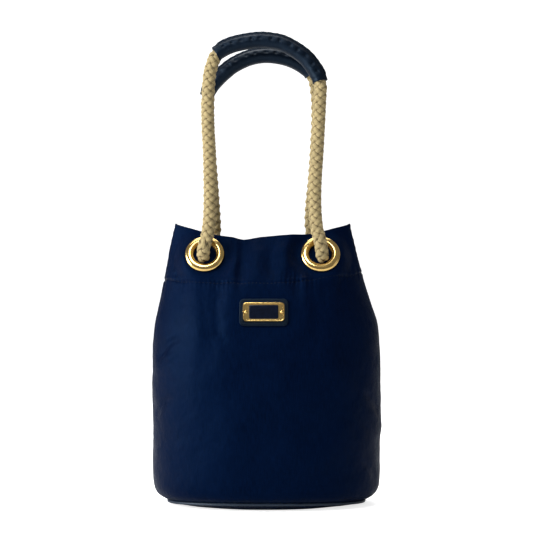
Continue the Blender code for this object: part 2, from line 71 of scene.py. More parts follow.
class Face(Enum):
    """The two broad faces of the bag."""

    FRONT = "front"
    BACK = "back"

    @property
    def side(self) -> float:
        """Sign of Y on this face."""
        return -1.0 if self is Face.FRONT else 1.0


class End(Enum):
    """The two ends of a handle."""

    LEFT = "left"
    RIGHT = "right"

    @property
    def sign(self) -> float:
        """Sign of X at this end."""
        return -1.0 if self is End.LEFT else 1.0


class Slot(Enum):
    """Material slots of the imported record."""

    NYLON = "outer_nylon"
    PIPING = "piping_nylon"
    LINING = "lining_cloth"
    LEATHER = "navy_leather"
    GOLD = "gold_metal"
    ENAMEL = "dark_enamel"
    ROPE = "beige_rope"
    BOARD = "base_board"


# --------------------------------------------------------------------------------------------
# Shader nodes
# --------------------------------------------------------------------------------------------


class Nodes:
    """Adds nodes to a node tree and links them."""

    def __init__(self, tree: bpy.types.NodeTree) -> None:
        """Work on a tree.

        Args:
            tree: The node tree to add to.
        """
        self.tree = tree

    def add(self, kind: str, **settings: object) -> bpy.types.Node:
        """Add a node.

        Args:
            kind: Blender's name of the node type.
            settings: Properties to set on the node.

        Returns:
            The new node.
        """
        node = self.tree.nodes.new(kind)
        for name, value in settings.items():
            setattr(node, name, value)
        return node

    def put(self, socket: bpy.types.NodeSocket, value: object) -> None:
        """Feed a socket from another socket or with a plain value.

        Args:
            socket: The socket to feed.
            value: Another socket, or the value itself.
        """
        if isinstance(value, bpy.types.NodeSocket):
            self.tree.links.new(value, socket)
        else:
            socket.default_value = value

    def math(self, operation: str, *values: object) -> bpy.types.NodeSocket:
        """Combine values with a Math node.

        Args:
            operation: The Math node's operation.
            values: Sockets or numbers, in the node's order.

        Returns:
            The result's socket.
        """
        node = self.add("ShaderNodeMath", operation=operation)
        for socket, value in zip(node.inputs, values):
            self.put(socket, value)
        return node.outputs[0]

    def remap(self, value: object, low: float, high: float, to_low: object,
              to_high: object) -> bpy.types.NodeSocket:
        """Map a value from one range to another, clamped.

        Args:
            value: Socket or number to map.
            low: Start of the range it comes in.
            high: End of the range it comes in.
            to_low: What the start becomes.
            to_high: What the end becomes.

        Returns:
            The mapped value's socket.
        """
        node = self.add("ShaderNodeMapRange", clamp=True)
        for socket, item in zip(node.inputs, (value, low, high, to_low, to_high)):
            self.put(socket, item)
        return node.outputs[0]

    def noise(self, vector: object, scale: object, detail: float = 3.0,
              roughness: float = 0.5) -> bpy.types.NodeSocket:
        """Noise texture.

        Args:
            vector: Socket of the texture coordinates.
            scale: Socket or number, in cells per metre.
            detail: Octaves of the noise.
            roughness: Strength of the finer octaves.

        Returns:
            The noise value's socket.
        """
        node = self.add("ShaderNodeTexNoise")
        self.put(node.inputs["Vector"], vector)
        self.put(node.inputs["Scale"], scale)
        node.inputs["Detail"].default_value = detail
        node.inputs["Roughness"].default_value = roughness
        return node.outputs["Fac"]

    def mix(self, share: object, first: object, second: object) -> bpy.types.NodeSocket:
        """Mix two colours.

        Args:
            share: How much of the second colour, as a socket or a number.
            first: First colour, as a socket or red, green, blue and alpha.
            second: Second colour, in the same form.

        Returns:
            The mixed colour's socket.
        """
        node = self.add("ShaderNodeMix", data_type="RGBA")
        self.put(node.inputs[0], share)
        self.put(node.inputs[6], first)
        self.put(node.inputs[7], second)
        return node.outputs[2]


def rgba(color: tuple[float, float, float], gain: float = 1.0) -> tuple[float, ...]:
    """Opaque colour, made lighter or darker by a gain."""
    return (*(channel * gain for channel in color), 1.0)


def start_group(name: str, inputs: dict[str, float | None],
                outputs: tuple[str, ...]) -> tuple[Nodes, bpy.types.Node, bpy.types.Node]:
    """Start a shader node group.

    Args:
        name: Name of the group.
        inputs: Default of each number input, or None for a vector input.
        outputs: Names of the number outputs.

    Returns:
        The node helper, the group's input node and its output node.
    """
    tree = bpy.data.node_groups.new(name, "ShaderNodeTree")
    for label, default in inputs.items():
        kind = "NodeSocketVector" if default is None else "NodeSocketFloat"
        socket = tree.interface.new_socket(name=label, in_out="INPUT", socket_type=kind)
        if default is not None:
            socket.default_value = default
    for label in outputs:
        tree.interface.new_socket(name=label, in_out="OUTPUT", socket_type="NodeSocketFloat")
    nodes = Nodes(tree)
    return nodes, nodes.add("NodeGroupInput"), nodes.add("NodeGroupOutput")


class Effects:
    """Node groups that several finishes share."""

    def __init__(self) -> None:
        """Build every group once."""
        self.weave = self.build_weave()
        self.mottle = self.build_mottle()
        self.grain = self.build_grain()
        self.yarn = self.build_yarn()
        self.wear = self.build_wear()

    @staticmethod
    def build_weave() -> bpy.types.NodeTree:
        """Plain weave: threads over and under each other, with uneven yarns.

        Returns:
            A group that puts out the height and a slow tone of the yarns.
        """
        nodes, given, out = start_group(
            "weave", {"Vector": None, "Pitch": 0.0005, "Unevenness": 0.4}, ("Height", "Tone")
        )
        apart = nodes.add("ShaderNodeSeparateXYZ")
        nodes.put(apart.inputs[0], given.outputs["Vector"])
        turns = nodes.math("DIVIDE", TAU, given.outputs["Pitch"])
        warp = nodes.math("SINE", nodes.math("MULTIPLY", apart.outputs["X"], turns))
        weft = nodes.math("SINE", nodes.math("MULTIPLY", apart.outputs["Y"], turns))
        crossing = nodes.math("MULTIPLY", warp, weft)
        stretch = nodes.add("ShaderNodeMapping")
        stretch.inputs["Scale"].default_value = (1.0, 0.06, 1.0)
        nodes.put(stretch.inputs["Vector"], given.outputs["Vector"])
        slub = nodes.noise(stretch.outputs[0], 1800.0, 2.0)
        uneven = nodes.math("MULTIPLY", slub, given.outputs["Unevenness"])
        height = nodes.math("ADD", nodes.math("MULTIPLY_ADD", crossing, 0.5, 0.5), uneven)
        nodes.put(out.inputs["Height"], height)
        nodes.put(out.inputs["Tone"], slub)
        return nodes.tree

    @staticmethod
    def build_mottle() -> bpy.types.NodeTree:
        """Soft cloudy variation about one.

        Returns:
            A group that puts out a value from one less the amount to one more the amount.
        """
        nodes, given, out = start_group(
            "mottle", {"Vector": None, "Size": 0.03, "Amount": 0.1}, ("Value",)
        )
        scale = nodes.math("DIVIDE", 1.0, given.outputs["Size"])
        cloud = nodes.noise(given.outputs["Vector"], scale, 4.0, 0.55)
        low = nodes.math("SUBTRACT", 1.0, given.outputs["Amount"])
        high = nodes.math("ADD", 1.0, given.outputs["Amount"])
        nodes.put(out.inputs["Value"], nodes.remap(cloud, 0.3, 0.7, low, high))
        return nodes.tree

    @staticmethod
    def build_grain() -> bpy.types.NodeTree:
        """Leather grain: rounded pebbles with fine pores between them.

        Returns:
            A group that puts out the height and a mask of the pebbles' tops.
        """
        nodes, given, out = start_group(
            "leather_grain", {"Vector": None, "Size": 0.0009}, ("Height", "Tops")
        )
        scale = nodes.math("DIVIDE", 1.0, given.outputs["Size"])
        wobble = nodes.noise(given.outputs["Vector"], nodes.math("MULTIPLY", scale, 0.6), 2.0)
        cells = nodes.add("ShaderNodeTexVoronoi", feature="DISTANCE_TO_EDGE")
        moved = nodes.add("ShaderNodeVectorMath", operation="MULTIPLY_ADD")
        nodes.put(moved.inputs[0], given.outputs["Vector"])
        moved.inputs[1].default_value = (1.0, 1.0, 1.0)
        push = nodes.math("MULTIPLY", wobble, given.outputs["Size"])
        nodes.put(moved.inputs[2], push)
        nodes.put(cells.inputs["Vector"], moved.outputs[0])
        nodes.put(cells.inputs["Scale"], scale)
        pebble = nodes.remap(cells.outputs["Distance"], 0.0, 0.28, 0.0, 1.0)
        pores = nodes.noise(given.outputs["Vector"], nodes.math("MULTIPLY", scale, 3.0), 2.0)
        nodes.put(out.inputs["Height"], nodes.math("MULTIPLY_ADD", pores, 0.35, pebble))
        nodes.put(out.inputs["Tops"], pebble)
        return nodes.tree

    @staticmethod
    def build_yarn() -> bpy.types.NodeTree:
        """Twisted yarns that lie side by side in a strand.

        Returns:
            A group that puts out the height of the yarns and a mask of the grooves.
        """
        nodes, given, out = start_group(
            "yarn", {"Vector": None, "Yarns": 7.0, "Twist": 220.0}, ("Height", "Groove")
        )
        apart = nodes.add("ShaderNodeSeparateXYZ")
        nodes.put(apart.inputs[0], given.outputs["Vector"])
        around = nodes.math("MULTIPLY", apart.outputs["X"], given.outputs["Yarns"])
        along = nodes.math("MULTIPLY", apart.outputs["Y"], given.outputs["Twist"])
        ridges = nodes.math("SINE", nodes.math("MULTIPLY", around, TAU))
        plies = nodes.math("MULTIPLY_ADD", around, 6.0, nodes.math("MULTIPLY", along, 6.0))
        twisted = nodes.math("SINE", plies)
        height = nodes.math("MULTIPLY_ADD", twisted, 0.25, ridges)
        nodes.put(out.inputs["Height"], nodes.remap(height, -1.25, 1.25, 0.0, 1.0))
        nodes.put(out.inputs["Groove"], nodes.remap(ridges, -1.0, -0.35, 1.0, 0.0))
        return nodes.tree

    @staticmethod
    def build_wear() -> bpy.types.NodeTree:
        """Wear on raised edges, broken up by noise.

        Returns:
            A group that puts out the mask of what is worn.
        """
        nodes, given, out = start_group(
            "edge_wear", {"Vector": None, "Start": 0.52, "Amount": 0.5}, ("Mask",)
        )
        geometry = nodes.add("ShaderNodeNewGeometry")
        edge = nodes.add("ShaderNodeMapRange", clamp=True)
        nodes.put(edge.inputs[0], geometry.outputs["Pointiness"])
        nodes.put(edge.inputs[1], given.outputs["Start"])
        edge.inputs[2].default_value = 0.62
        patchy = nodes.remap(nodes.noise(given.outputs["Vector"], 350.0), 0.35, 0.65, 0.2, 1.0)
        worn = nodes.math("MULTIPLY", edge.outputs[0], patchy)
        nodes.put(out.inputs["Mask"], nodes.math("MULTIPLY", worn, given.outputs["Amount"]))
        return nodes.tree


class Dresser:
    """One material under construction: its nodes, its shader and its coordinates."""

    def __init__(self, name: str, flat_map: bool) -> None:
        """Start a material.

        Args:
            name: Name of the material.
            flat_map: Whether the finish follows the cloth's own flat coordinates.
        """
        self.material = bpy.data.materials.new(name)
        self.material.use_nodes = True
        self.nodes = Nodes(self.material.node_tree)
        self.shader = self.material.node_tree.nodes["Principled BSDF"]
        place = self.nodes.add("ShaderNodeTexCoord")
        self.solid = place.outputs["Object"]
        self.flat = place.outputs["UV"] if flat_map else self.solid

    def effect(self, group: bpy.types.NodeTree, vector: bpy.types.NodeSocket,
               **values: float) -> bpy.types.Node:
        """Place a shared group with its own values.

        Args:
            group: The group to place.
            vector: Coordinates that it works on.
            values: Its number inputs.

        Returns:
            The group's node.
        """
        node = self.nodes.add("ShaderNodeGroup")
        node.node_tree = group
        self.nodes.put(node.inputs["Vector"], vector)
        for name, value in values.items():
            node.inputs[name.capitalize()].default_value = value
        return node

    def set(self, **values: object) -> None:
        """Set shader sockets by name, with underscores for the spaces."""
        for name, value in values.items():
            self.nodes.put(self.shader.inputs[name.replace("_", " ")], value)

    def bump(self, height: object, distance: float, strength: float = 1.0,
             under: bpy.types.NodeSocket | None = None) -> bpy.types.NodeSocket:
        """Relief from a height.

        Args:
            height: Socket of the height.
            distance: Depth of the relief in metres.
            strength: Share of the relief that shows.
            under: Normal that this relief is laid over.

        Returns:
            The normal's socket.
        """
        node = self.nodes.add("ShaderNodeBump")
        node.inputs["Distance"].default_value = distance
        node.inputs["Strength"].default_value = strength
        self.nodes.put(node.inputs["Height"], height)
        if under is not None:
            self.nodes.put(node.inputs["Normal"], under)
        return node.outputs[0]


@dataclass(frozen=True)
class ClothFinish:
    """Woven cloth: satin nylon, lining or the cover of the piping."""

    name: str
    color: tuple[float, float, float]
    roughness: float = 0.42
    gloss: float = 0.055
    gloss_tint: tuple[float, float, float] = (0.04, 0.34, 1.0)
    pitch: float = 0.45 * MM
    relief: float = 0.05 * MM
    sheen: float = 0.010
    sheen_tint: tuple[float, float, float] = (0.05, 0.35, 0.9)
    wrinkle: float = 0.25 * MM

    def make(self, effects: Effects) -> bpy.types.Material:
        """Build the cloth's material.

        Args:
            effects: The shared node groups.

        Returns:
            The material.
        """
        work = Dresser(self.name, flat_map=True)
        nodes = work.nodes
        weave = work.effect(effects.weave, work.flat, pitch=self.pitch, unevenness=0.5)
        cloud = work.effect(effects.mottle, work.solid, size=0.035, amount=0.22)
        dark, light = rgba(self.color, 0.75), rgba(self.color, 1.3)
        tone = nodes.mix(nodes.remap(weave.outputs["Tone"], 0.35, 0.65, 0.0, 1.0), dark, light)
        shade = nodes.remap(cloud.outputs["Value"], 0.78, 1.22, 0.0, 0.45)
        work.set(
            Base_Color=nodes.mix(shade, tone, rgba(self.color, 1.55)),
            Roughness=nodes.math("MULTIPLY", cloud.outputs["Value"], self.roughness),
            Sheen_Weight=self.sheen,
            Sheen_Roughness=0.45,
            Sheen_Tint=rgba(self.sheen_tint),
            Specular_IOR_Level=self.gloss,
            Specular_Tint=rgba(self.gloss_tint),
        )
        crumple = nodes.noise(work.solid, 130.0, 4.0, 0.55)
        soft = work.bump(crumple, self.wrinkle * 4.0, 0.5)
        work.set(Normal=work.bump(weave.outputs["Height"], self.relief, 0.6, soft))
        return work.material


@dataclass(frozen=True)
class LeatherFinish:
    """Smooth dyed leather with a fine grain, a little paler where it is rubbed."""

    name: str
    color: tuple[float, float, float]
    roughness: float = 0.40
    grain: float = 0.85 * MM
    relief: float = 0.06 * MM

    def make(self, effects: Effects) -> bpy.types.Material:
        """Build the leather's material.

        Args:
            effects: The shared node groups.

        Returns:
            The material.
        """
        work = Dresser(self.name, flat_map=False)
        nodes = work.nodes
        grain = work.effect(effects.grain, work.solid, size=self.grain)
        cloud = work.effect(effects.mottle, work.solid, size=0.012, amount=0.25)
        wear = work.effect(effects.wear, work.solid, start=0.53, amount=0.45)
        tops = nodes.mix(grain.outputs["Tops"], rgba(self.color, 0.55), rgba(self.color, 1.0))
        clouded = nodes.mix(
            nodes.remap(cloud.outputs["Value"], 0.75, 1.25, 0.0, 0.5), tops, rgba(self.color, 1.5)
        )
        rubbed = tuple(channel * 2.2 + 0.012 for channel in self.color)
        work.set(
            Base_Color=nodes.mix(wear.outputs["Mask"], clouded, rgba(rubbed)),
            Roughness=nodes.math("MULTIPLY", cloud.outputs["Value"], self.roughness),
            Specular_IOR_Level=0.20,
            Specular_Tint=rgba((0.45, 0.70, 1.0)),
        )
        creases = nodes.noise(work.solid, 420.0, 3.0, 0.6)
        soft = work.bump(creases, 0.12 * MM, 0.35)
        work.set(Normal=work.bump(grain.outputs["Height"], self.relief, 0.7, soft))
        return work.material


@dataclass(frozen=True)
class MetalFinish:
    """Polished plated metal with hairline handling marks."""

    name: str
    color: tuple[float, float, float]
    roughness: float = 0.13

    def make(self, effects: Effects) -> bpy.types.Material:
        """Build the metal's material.

        Args:
            effects: The shared node groups.

        Returns:
            The material.
        """
        work = Dresser(self.name, flat_map=False)
        nodes = work.nodes
        cloud = work.effect(effects.mottle, work.solid, size=0.006, amount=0.35)
        wear = work.effect(effects.wear, work.solid, start=0.54, amount=0.35)
        hairs = nodes.add("ShaderNodeMapping")
        hairs.inputs["Rotation"].default_value = (0.3, 0.9, 0.5)
        hairs.inputs["Scale"].default_value = (1.0, 14.0, 1.0)
        nodes.put(hairs.inputs["Vector"], work.solid)
        marks = nodes.noise(hairs.outputs[0], 500.0, 3.0, 0.6)
        tarnish = nodes.remap(cloud.outputs["Value"], 0.7, 1.3, 0.0, 0.35)
        body = nodes.mix(tarnish, rgba(self.color), rgba(self.color, 0.72))
        rough = nodes.math("MULTIPLY", cloud.outputs["Value"], self.roughness)
        work.set(
            Base_Color=nodes.mix(wear.outputs["Mask"], body, rgba(self.color, 1.12)),
            Metallic=1.0,
            Roughness=nodes.math("MULTIPLY_ADD", marks, 0.06, rough),
            Normal=work.bump(marks, 0.012 * MM, 0.35),
        )
        return work.material


@dataclass(frozen=True)
class RopeFinish:
    """Natural braided rope: dry twisted yarns, with painted shade in the yarn grooves and on the
    flanks of each strand.
    """

    name: str
    color: tuple[float, float, float]
    # Colour of the painted shade on the strand flanks and in the yarn grooves.
    shade: tuple[float, float, float]

    def make(self, effects: Effects) -> bpy.types.Material:
        """Build the rope's material.

        Args:
            effects: The shared node groups.

        Returns:
            The material.
        """
        work = Dresser(self.name, flat_map=True)
        nodes = work.nodes
        yarn = work.effect(effects.yarn, work.flat, yarns=9.0, twist=900.0)
        cloud = work.effect(effects.mottle, work.solid, size=0.007, amount=0.3)
        fibre = nodes.noise(work.solid, 2600.0, 3.0, 0.6)
        tone = nodes.mix(
            nodes.remap(cloud.outputs["Value"], 0.7, 1.3, 0.0, 1.0), rgba(self.color, 0.82),
            rgba(self.color, 1.14),
        )
        fleck = nodes.mix(nodes.remap(fibre, 0.35, 0.7, 0.0, 0.35), tone, rgba(self.color, 1.3))
        # Painted shade: across each strand the colour darkens towards its flanks, and it darkens in
        # the grooves between the yarns, where shade would fall.
        apart = nodes.add("ShaderNodeSeparateXYZ")
        nodes.put(apart.inputs[0], work.flat)
        turn = nodes.math("MULTIPLY_ADD", apart.outputs["X"], TAU, -0.25 * TAU)
        painted_flank_shade = nodes.remap(nodes.math("COSINE", turn), 0.30, 0.86, 0.8, 0.0)
        groove = nodes.math("MULTIPLY", yarn.outputs["Groove"], 0.35)
        # The base colour mixes towards the painted shade colour by the larger of the flank and
        # groove masks.
        work.set(
            Base_Color=nodes.mix(
                nodes.math("MAXIMUM", groove, painted_flank_shade), fleck, rgba(self.shade)
            ),
            Roughness=nodes.remap(fibre, 0.3, 0.7, 0.72, 0.92),
            Sheen_Weight=0.25,
            Sheen_Roughness=0.5,
            Sheen_Tint=rgba((1.0, 0.92, 0.7)),
            Specular_IOR_Level=0.3,
        )
        fuzz = work.bump(fibre, 0.12 * MM, 0.5)
        work.set(Normal=work.bump(yarn.outputs["Height"], 0.22 * MM, 0.9, fuzz))
        return work.material


@dataclass(frozen=True)
class EnamelFinish:
    """Glossy fired enamel."""

    name: str
    color: tuple[float, float, float]

    def make(self, effects: Effects) -> bpy.types.Material:
        """Build the enamel's material.

        Args:
            effects: The shared node groups.

        Returns:
            The material.
        """
        work = Dresser(self.name, flat_map=False)
        nodes = work.nodes
        cloud = work.effect(effects.mottle, work.solid, size=0.003, amount=0.3)
        share = nodes.remap(cloud.outputs["Value"], 0.7, 1.3, 0.0, 1.0)
        ripple = nodes.noise(work.solid, 300.0, 1.0)
        work.set(
            Base_Color=nodes.mix(share, rgba(self.color, 0.8), rgba(self.color, 1.4)),
            Roughness=nodes.remap(ripple, 0.3, 0.7, 0.08, 0.16),
            Coat_Weight=0.15,
            Specular_IOR_Level=0.2,
            Coat_Roughness=0.05,
            Normal=work.bump(ripple, 0.02 * MM, 0.3),
        )
        return work.material


@dataclass(frozen=True)
class MattFinish:
    """Plain matt stuff with a fine tooth: sewing thread, board or the studio floor."""

    name: str
    color: tuple[float, float, float]
    roughness: float = 0.8
    tooth: float = 900.0
    relief: float = 0.03 * MM
    glow: float = 0.0

    def make(self, effects: Effects) -> bpy.types.Material:
        """Build the matt material.

        Args:
            effects: The shared node groups.

        Returns:
            The material.
        """
        work = Dresser(self.name, flat_map=False)
        nodes = work.nodes
        cloud = work.effect(effects.mottle, work.solid, size=0.02, amount=0.12)
        fine = nodes.noise(work.solid, self.tooth, 3.0, 0.6)
        share = nodes.remap(fine, 0.3, 0.7, 0.0, 1.0)
        work.set(
            Base_Color=nodes.mix(share, rgba(self.color, 0.94), rgba(self.color, 1.05)),
            Roughness=nodes.math("MULTIPLY", cloud.outputs["Value"], self.roughness),
            Specular_IOR_Level=0.2,
            Normal=work.bump(fine, self.relief, 0.5),
        )
        if self.glow:
            seen = nodes.add("ShaderNodeLightPath").outputs["Is Camera Ray"]
            work.set(
                Emission_Color=(1.0, 1.0, 1.0, 1.0),
                Emission_Strength=nodes.math("MULTIPLY", seen, self.glow),
            )
        return work.material


class Wardrobe:
    """Every finish of the bag, built once."""

    def __init__(self) -> None:
        """Build the shared effects and the materials."""
        effects = Effects()
        navy = (0.0006, 0.0031, 0.0148)
        self.nylon = ClothFinish("satin_nylon", navy).make(effects)
        self.piping = ClothFinish("piping_cover", (0.013, 0.021, 0.036), roughness=0.34,
                                  gloss=0.35, gloss_tint=(0.8, 0.9, 1.0), pitch=0.6 * MM,
                                  wrinkle=0.15 * MM).make(effects)
        self.lining = ClothFinish("lining_cloth", (0.0010, 0.0028, 0.0090), roughness=0.6,
                                  gloss=0.12, pitch=0.7 * MM).make(effects)
        self.leather = LeatherFinish("grip_leather", (0.0016, 0.0042, 0.0105)).make(effects)
        self.gold = MetalFinish("gold_plate", (0.82, 0.56, 0.20)).make(effects)
        # The rope's second colour is the painted shade for its strand flanks and yarn grooves.
        self.rope = RopeFinish("braided_rope", (0.385, 0.305, 0.150),
                               (0.085, 0.056, 0.021)).make(effects)
        self.enamel = EnamelFinish("navy_enamel", (0.0012, 0.0030, 0.0100)).make(effects)
        self.thread = MattFinish("navy_thread", (0.0008, 0.0030, 0.0110), 0.7).make(effects)
        self.board = MattFinish("base_board", (0.32, 0.30, 0.26), 0.85).make(effects)
        self.floor = MattFinish("studio_floor", (0.92, 0.92, 0.92), 0.9, 60.0, glow=0.75).make(
            effects
        )


# --------------------------------------------------------------------------------------------
# Mesh tools
# --------------------------------------------------------------------------------------------


def smoothstep(low: float, high: float, value: np.ndarray) -> np.ndarray:
    """Rise smoothly from 0 at low to 1 at high."""
    part = np.clip((value - low) / (high - low), 0.0, 1.0)
    return part * part * (3.0 - 2.0 * part)


def unit(vectors: np.ndarray) -> np.ndarray:
    """Vectors of length one along the last axis."""
    length = np.linalg.norm(vectors, axis=-1, keepdims=True)
    return vectors / np.maximum(length, 1e-12)


def smooth_line(points: np.ndarray, steps: int = 12) -> np.ndarray:
    """Dense points on a smooth curve through a route's own points.

    Args:
        points: The route, one row a point.
        steps: Points on each span.

    Returns:
        The dense points, ends included.
    """
    padded = np.vstack([2 * points[0] - points[1], points, 2 * points[-1] - points[-2]])
    u = (np.arange(steps) / steps)[:, None]
    dense = []
    for before, start, end, after in zip(padded, padded[1:], padded[2:], padded[3:]):
        dense.append(0.5 * (
            2 * start + (end - before) * u
            + (2 * before - 5 * start + 4 * end - after) * u**2
            + (3 * start - before - 3 * end + after) * u**3
        ))
    dense.append(points[-1:])
    return np.vstack(dense)


def spaced(points: np.ndarray, spacing: float) -> tuple[np.ndarray, np.ndarray]:
    """Points at an even spacing along a dense line.

    Args:
        points: The dense line.
        spacing: Distance wanted between points.

    Returns:
        The points and their distances from the start.
    """
    lengths = np.concatenate([[0.0], np.cumsum(np.linalg.norm(np.diff(points, axis=0), axis=1))])
    count = max(2, int(round(lengths[-1] / spacing)) + 1)
    along = np.linspace(0.0, lengths[-1], count)
    placed = np.stack([np.interp(along, lengths, points[:, k]) for k in range(3)], axis=1)
    return placed, along


def carried_frames(points: np.ndarray, first: np.ndarray) -> tuple[np.ndarray, np.ndarray]:
    """Frames carried along a line without twist.

    Args:
        points: The line.
        first: Direction that the first normal leans to.

    Returns:
        Normals and binormals.
    """
    tangents = unit(np.gradient(points, axis=0))
    normals = np.zeros_like(points)
    normal = first - tangents[0] * np.dot(first, tangents[0])
    for i, tangent in enumerate(tangents):
        normal = normal - tangent * np.dot(normal, tangent)
        normal = normal / np.linalg.norm(normal)
        normals[i] = normal
    return normals, np.cross(tangents, normals)


def new_piece(name: str, mesh: bpy.types.Mesh, material: bpy.types.Material) -> bpy.types.Object:
    """Link a new object with one material.

    Args:
        name: Name of the object.
        mesh: Its mesh.
        material: Its finish.

    Returns:
        The new object.
    """
    piece = bpy.data.objects.new(name, mesh)
    bpy.context.scene.collection.objects.link(piece)
    mesh.materials.append(material)
    return piece


def skin(name: str, rows: np.ndarray, material: bpy.types.Material, closed: bool = False,
         flat: np.ndarray | None = None, caps: bool = False) -> bpy.types.Object:
    """Skin a grid of points.

    Args:
        name: Name of the piece.
        rows: Points, by row, column and coordinate. Faces look along column x row.
        material: Its finish.
        closed: Whether the last column joins the first.
        flat: Flat coordinates, by row, column and axis, with one more column when closed.
        caps: Whether the first and last rows are closed with a face.

    Returns:
        The new object.
    """
    high, wide = rows.shape[:2]
    span = wide if closed else wide - 1
    index = np.arange(high * wide).reshape(high, wide)
    low_left = index[:-1, :span]
    low_right = np.roll(index, -1, axis=1)[:-1, :span]
    top_left = index[1:, :span]
    top_right = np.roll(index, -1, axis=1)[1:, :span]
    faces = np.stack([low_left, low_right, top_right, top_left], axis=-1).reshape(-1, 4).tolist()
    if caps:
        faces.append(index[0, ::-1].tolist())
        faces.append(index[-1].tolist())
    mesh = bpy.data.meshes.new(name)
    mesh.from_pydata(rows.reshape(-1, 3).tolist(), [], faces)
    if flat is not None:
        layer = mesh.uv_layers.new(name="cloth")
        corners = np.stack([
            flat[:-1, :span], flat[:-1, 1:span + 1], flat[1:, 1:span + 1], flat[1:, :span]
        ], axis=2).reshape(-1, 2)
        filled = np.zeros((len(mesh.loops), 2))
        filled[:len(corners)] = corners
        layer.data.foreach_set("uv", filled.astype(np.float32).ravel())
    mesh.shade_smooth()
    mesh.update()
    return new_piece(name, mesh, material)


def report(piece: bpy.types.Object) -> None:
    """Log a finished piece."""
    LOG.info("%s: %d faces", piece.name, len(piece.data.polygons))


def join(name: str, pieces: list[bpy.types.Object]) -> bpy.types.Object:
    """Join pieces of one finish into one object.

    Args:
        name: Name of the joined object.
        pieces: The pieces, the first of which takes in the rest.

    Returns:
        The joined object.
    """
    with bpy.context.temp_override(
        active_object=pieces[0], object=pieces[0], selected_objects=pieces,
        selected_editable_objects=pieces,
    ):
        bpy.ops.object.join()
    pieces[0].name = name
    pieces[0].data.name = name
    return pieces[0]


def thicken(piece: bpy.types.Object, thickness: float) -> None:
    """Give a surface a thickness inwards, and apply it.

    Args:
        piece: The surface.
        thickness: How thick it becomes.
    """
    modifier = piece.modifiers.new("thickness", "SOLIDIFY")
    modifier.thickness = thickness
    modifier.offset = -1.0
    apply_modifiers(piece)


def apply_modifiers(piece: bpy.types.Object) -> None:
    """Replace an object's mesh with what its modifiers make of it.

    Args:
        piece: The object.
    """
    graph = bpy.context.evaluated_depsgraph_get()
    mesh = bpy.data.meshes.new_from_object(piece.evaluated_get(graph))
    old = piece.data
    piece.modifiers.clear()
    piece.data = mesh
    bpy.data.meshes.remove(old)


def turned(name: str, profile: np.ndarray, steps: int,
           material: bpy.types.Material) -> bpy.types.Object:
    """Turn a piece about Z.

    Args:
        name: Name of the piece.
        profile: Closed outline, by point, of radius and height.
        steps: Facets round the axis.
        material: Its finish.

    Returns:
        The new object.
    """
    angles = np.arange(steps) * TAU / steps
    closed_profile = np.vstack([profile, profile[:1]])
    rows = np.stack([
        np.outer(closed_profile[:, 0], np.cos(angles)),
        np.outer(closed_profile[:, 0], np.sin(angles)),
        np.repeat(closed_profile[:, 1:], steps, axis=1),
    ], axis=-1)
    piece = skin(name, rows, material, closed=True)
    weld(piece)
    return piece


def weld(piece: bpy.types.Object, distance: float = 1e-6) -> None:
    """Merge points that coincide and make the faces look outwards.

    Args:
        piece: The object to mend.
        distance: How near points have to be to merge.
    """
    work = bmesh.new()
    work.from_mesh(piece.data)
    bmesh.ops.remove_doubles(work, verts=work.verts, dist=distance)
    bmesh.ops.recalc_face_normals(work, faces=work.faces)
    work.to_mesh(piece.data)
    work.free()


def basis(centre: Vector, normal: Vector) -> Matrix:
    """Frame of a fitting on the cloth.

    Args:
        centre: Its origin.
        normal: Its Z axis, which isn't straight up.

    Returns:
        The frame, with its X axis level and to the right.
    """
    right = Vector((0.0, 0.0, 1.0)).cross(normal).normalized()
    turn = Matrix((right, normal.cross(right), normal)).transposed()
    return Matrix.Translation(centre) @ turn.to_4x4()


def cloudy(points: np.ndarray, size: float, seed: float, octaves: int = 2) -> np.ndarray:
    """Smooth noise at points, from about -1 to 1.

    Args:
        points: Points by row and coordinate.
        size: Size of the clouds in metres.
        seed: Offset that picks one pattern.
        octaves: Number of octaves.

    Returns:
        One value a point.
    """
    shift = Vector((seed, seed * 0.7, -seed))
    return np.array([
        noise.fractal(Vector(point) / size + shift, 0.6, 2.0, octaves) for point in points
    ])


# --------------------------------------------------------------------------------------------
# Fittings on the cloth
# --------------------------------------------------------------------------------------------


@dataclass
class Seat:
    """A place on the cloth where a hard fitting lies flat."""

    centre: Vector
    normal: Vector
    flat: float
    fade: float


def face_normal(node: str) -> Vector:
    """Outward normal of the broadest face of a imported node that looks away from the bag.

    Args:
        node: Name of the node.

    Returns:
        The normal.
    """
    mesh = frame["nodes"][node].data
    totals: dict[tuple[float, ...], float] = {}
    for polygon in mesh.polygons:
        key = tuple(round(value, 2) for value in polygon.normal)
        totals[key] = totals.get(key, 0.0) + polygon.area
    outward = {key: area for key, area in totals.items() if key[2] > 0.05 and abs(key[1]) > 0.5}
    return Vector(max(outward, key=outward.get)).normalized()


def box_centre(node: str) -> Vector:
    """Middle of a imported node's box."""
    low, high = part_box(node)
    return (low + high) / 2


def along_normal(node: str, normal: Vector) -> tuple[float, float]:
    """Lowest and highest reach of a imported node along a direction."""
    reach = [vertex.co.dot(normal) for vertex in frame["nodes"][node].data.vertices]
    return min(reach), max(reach)


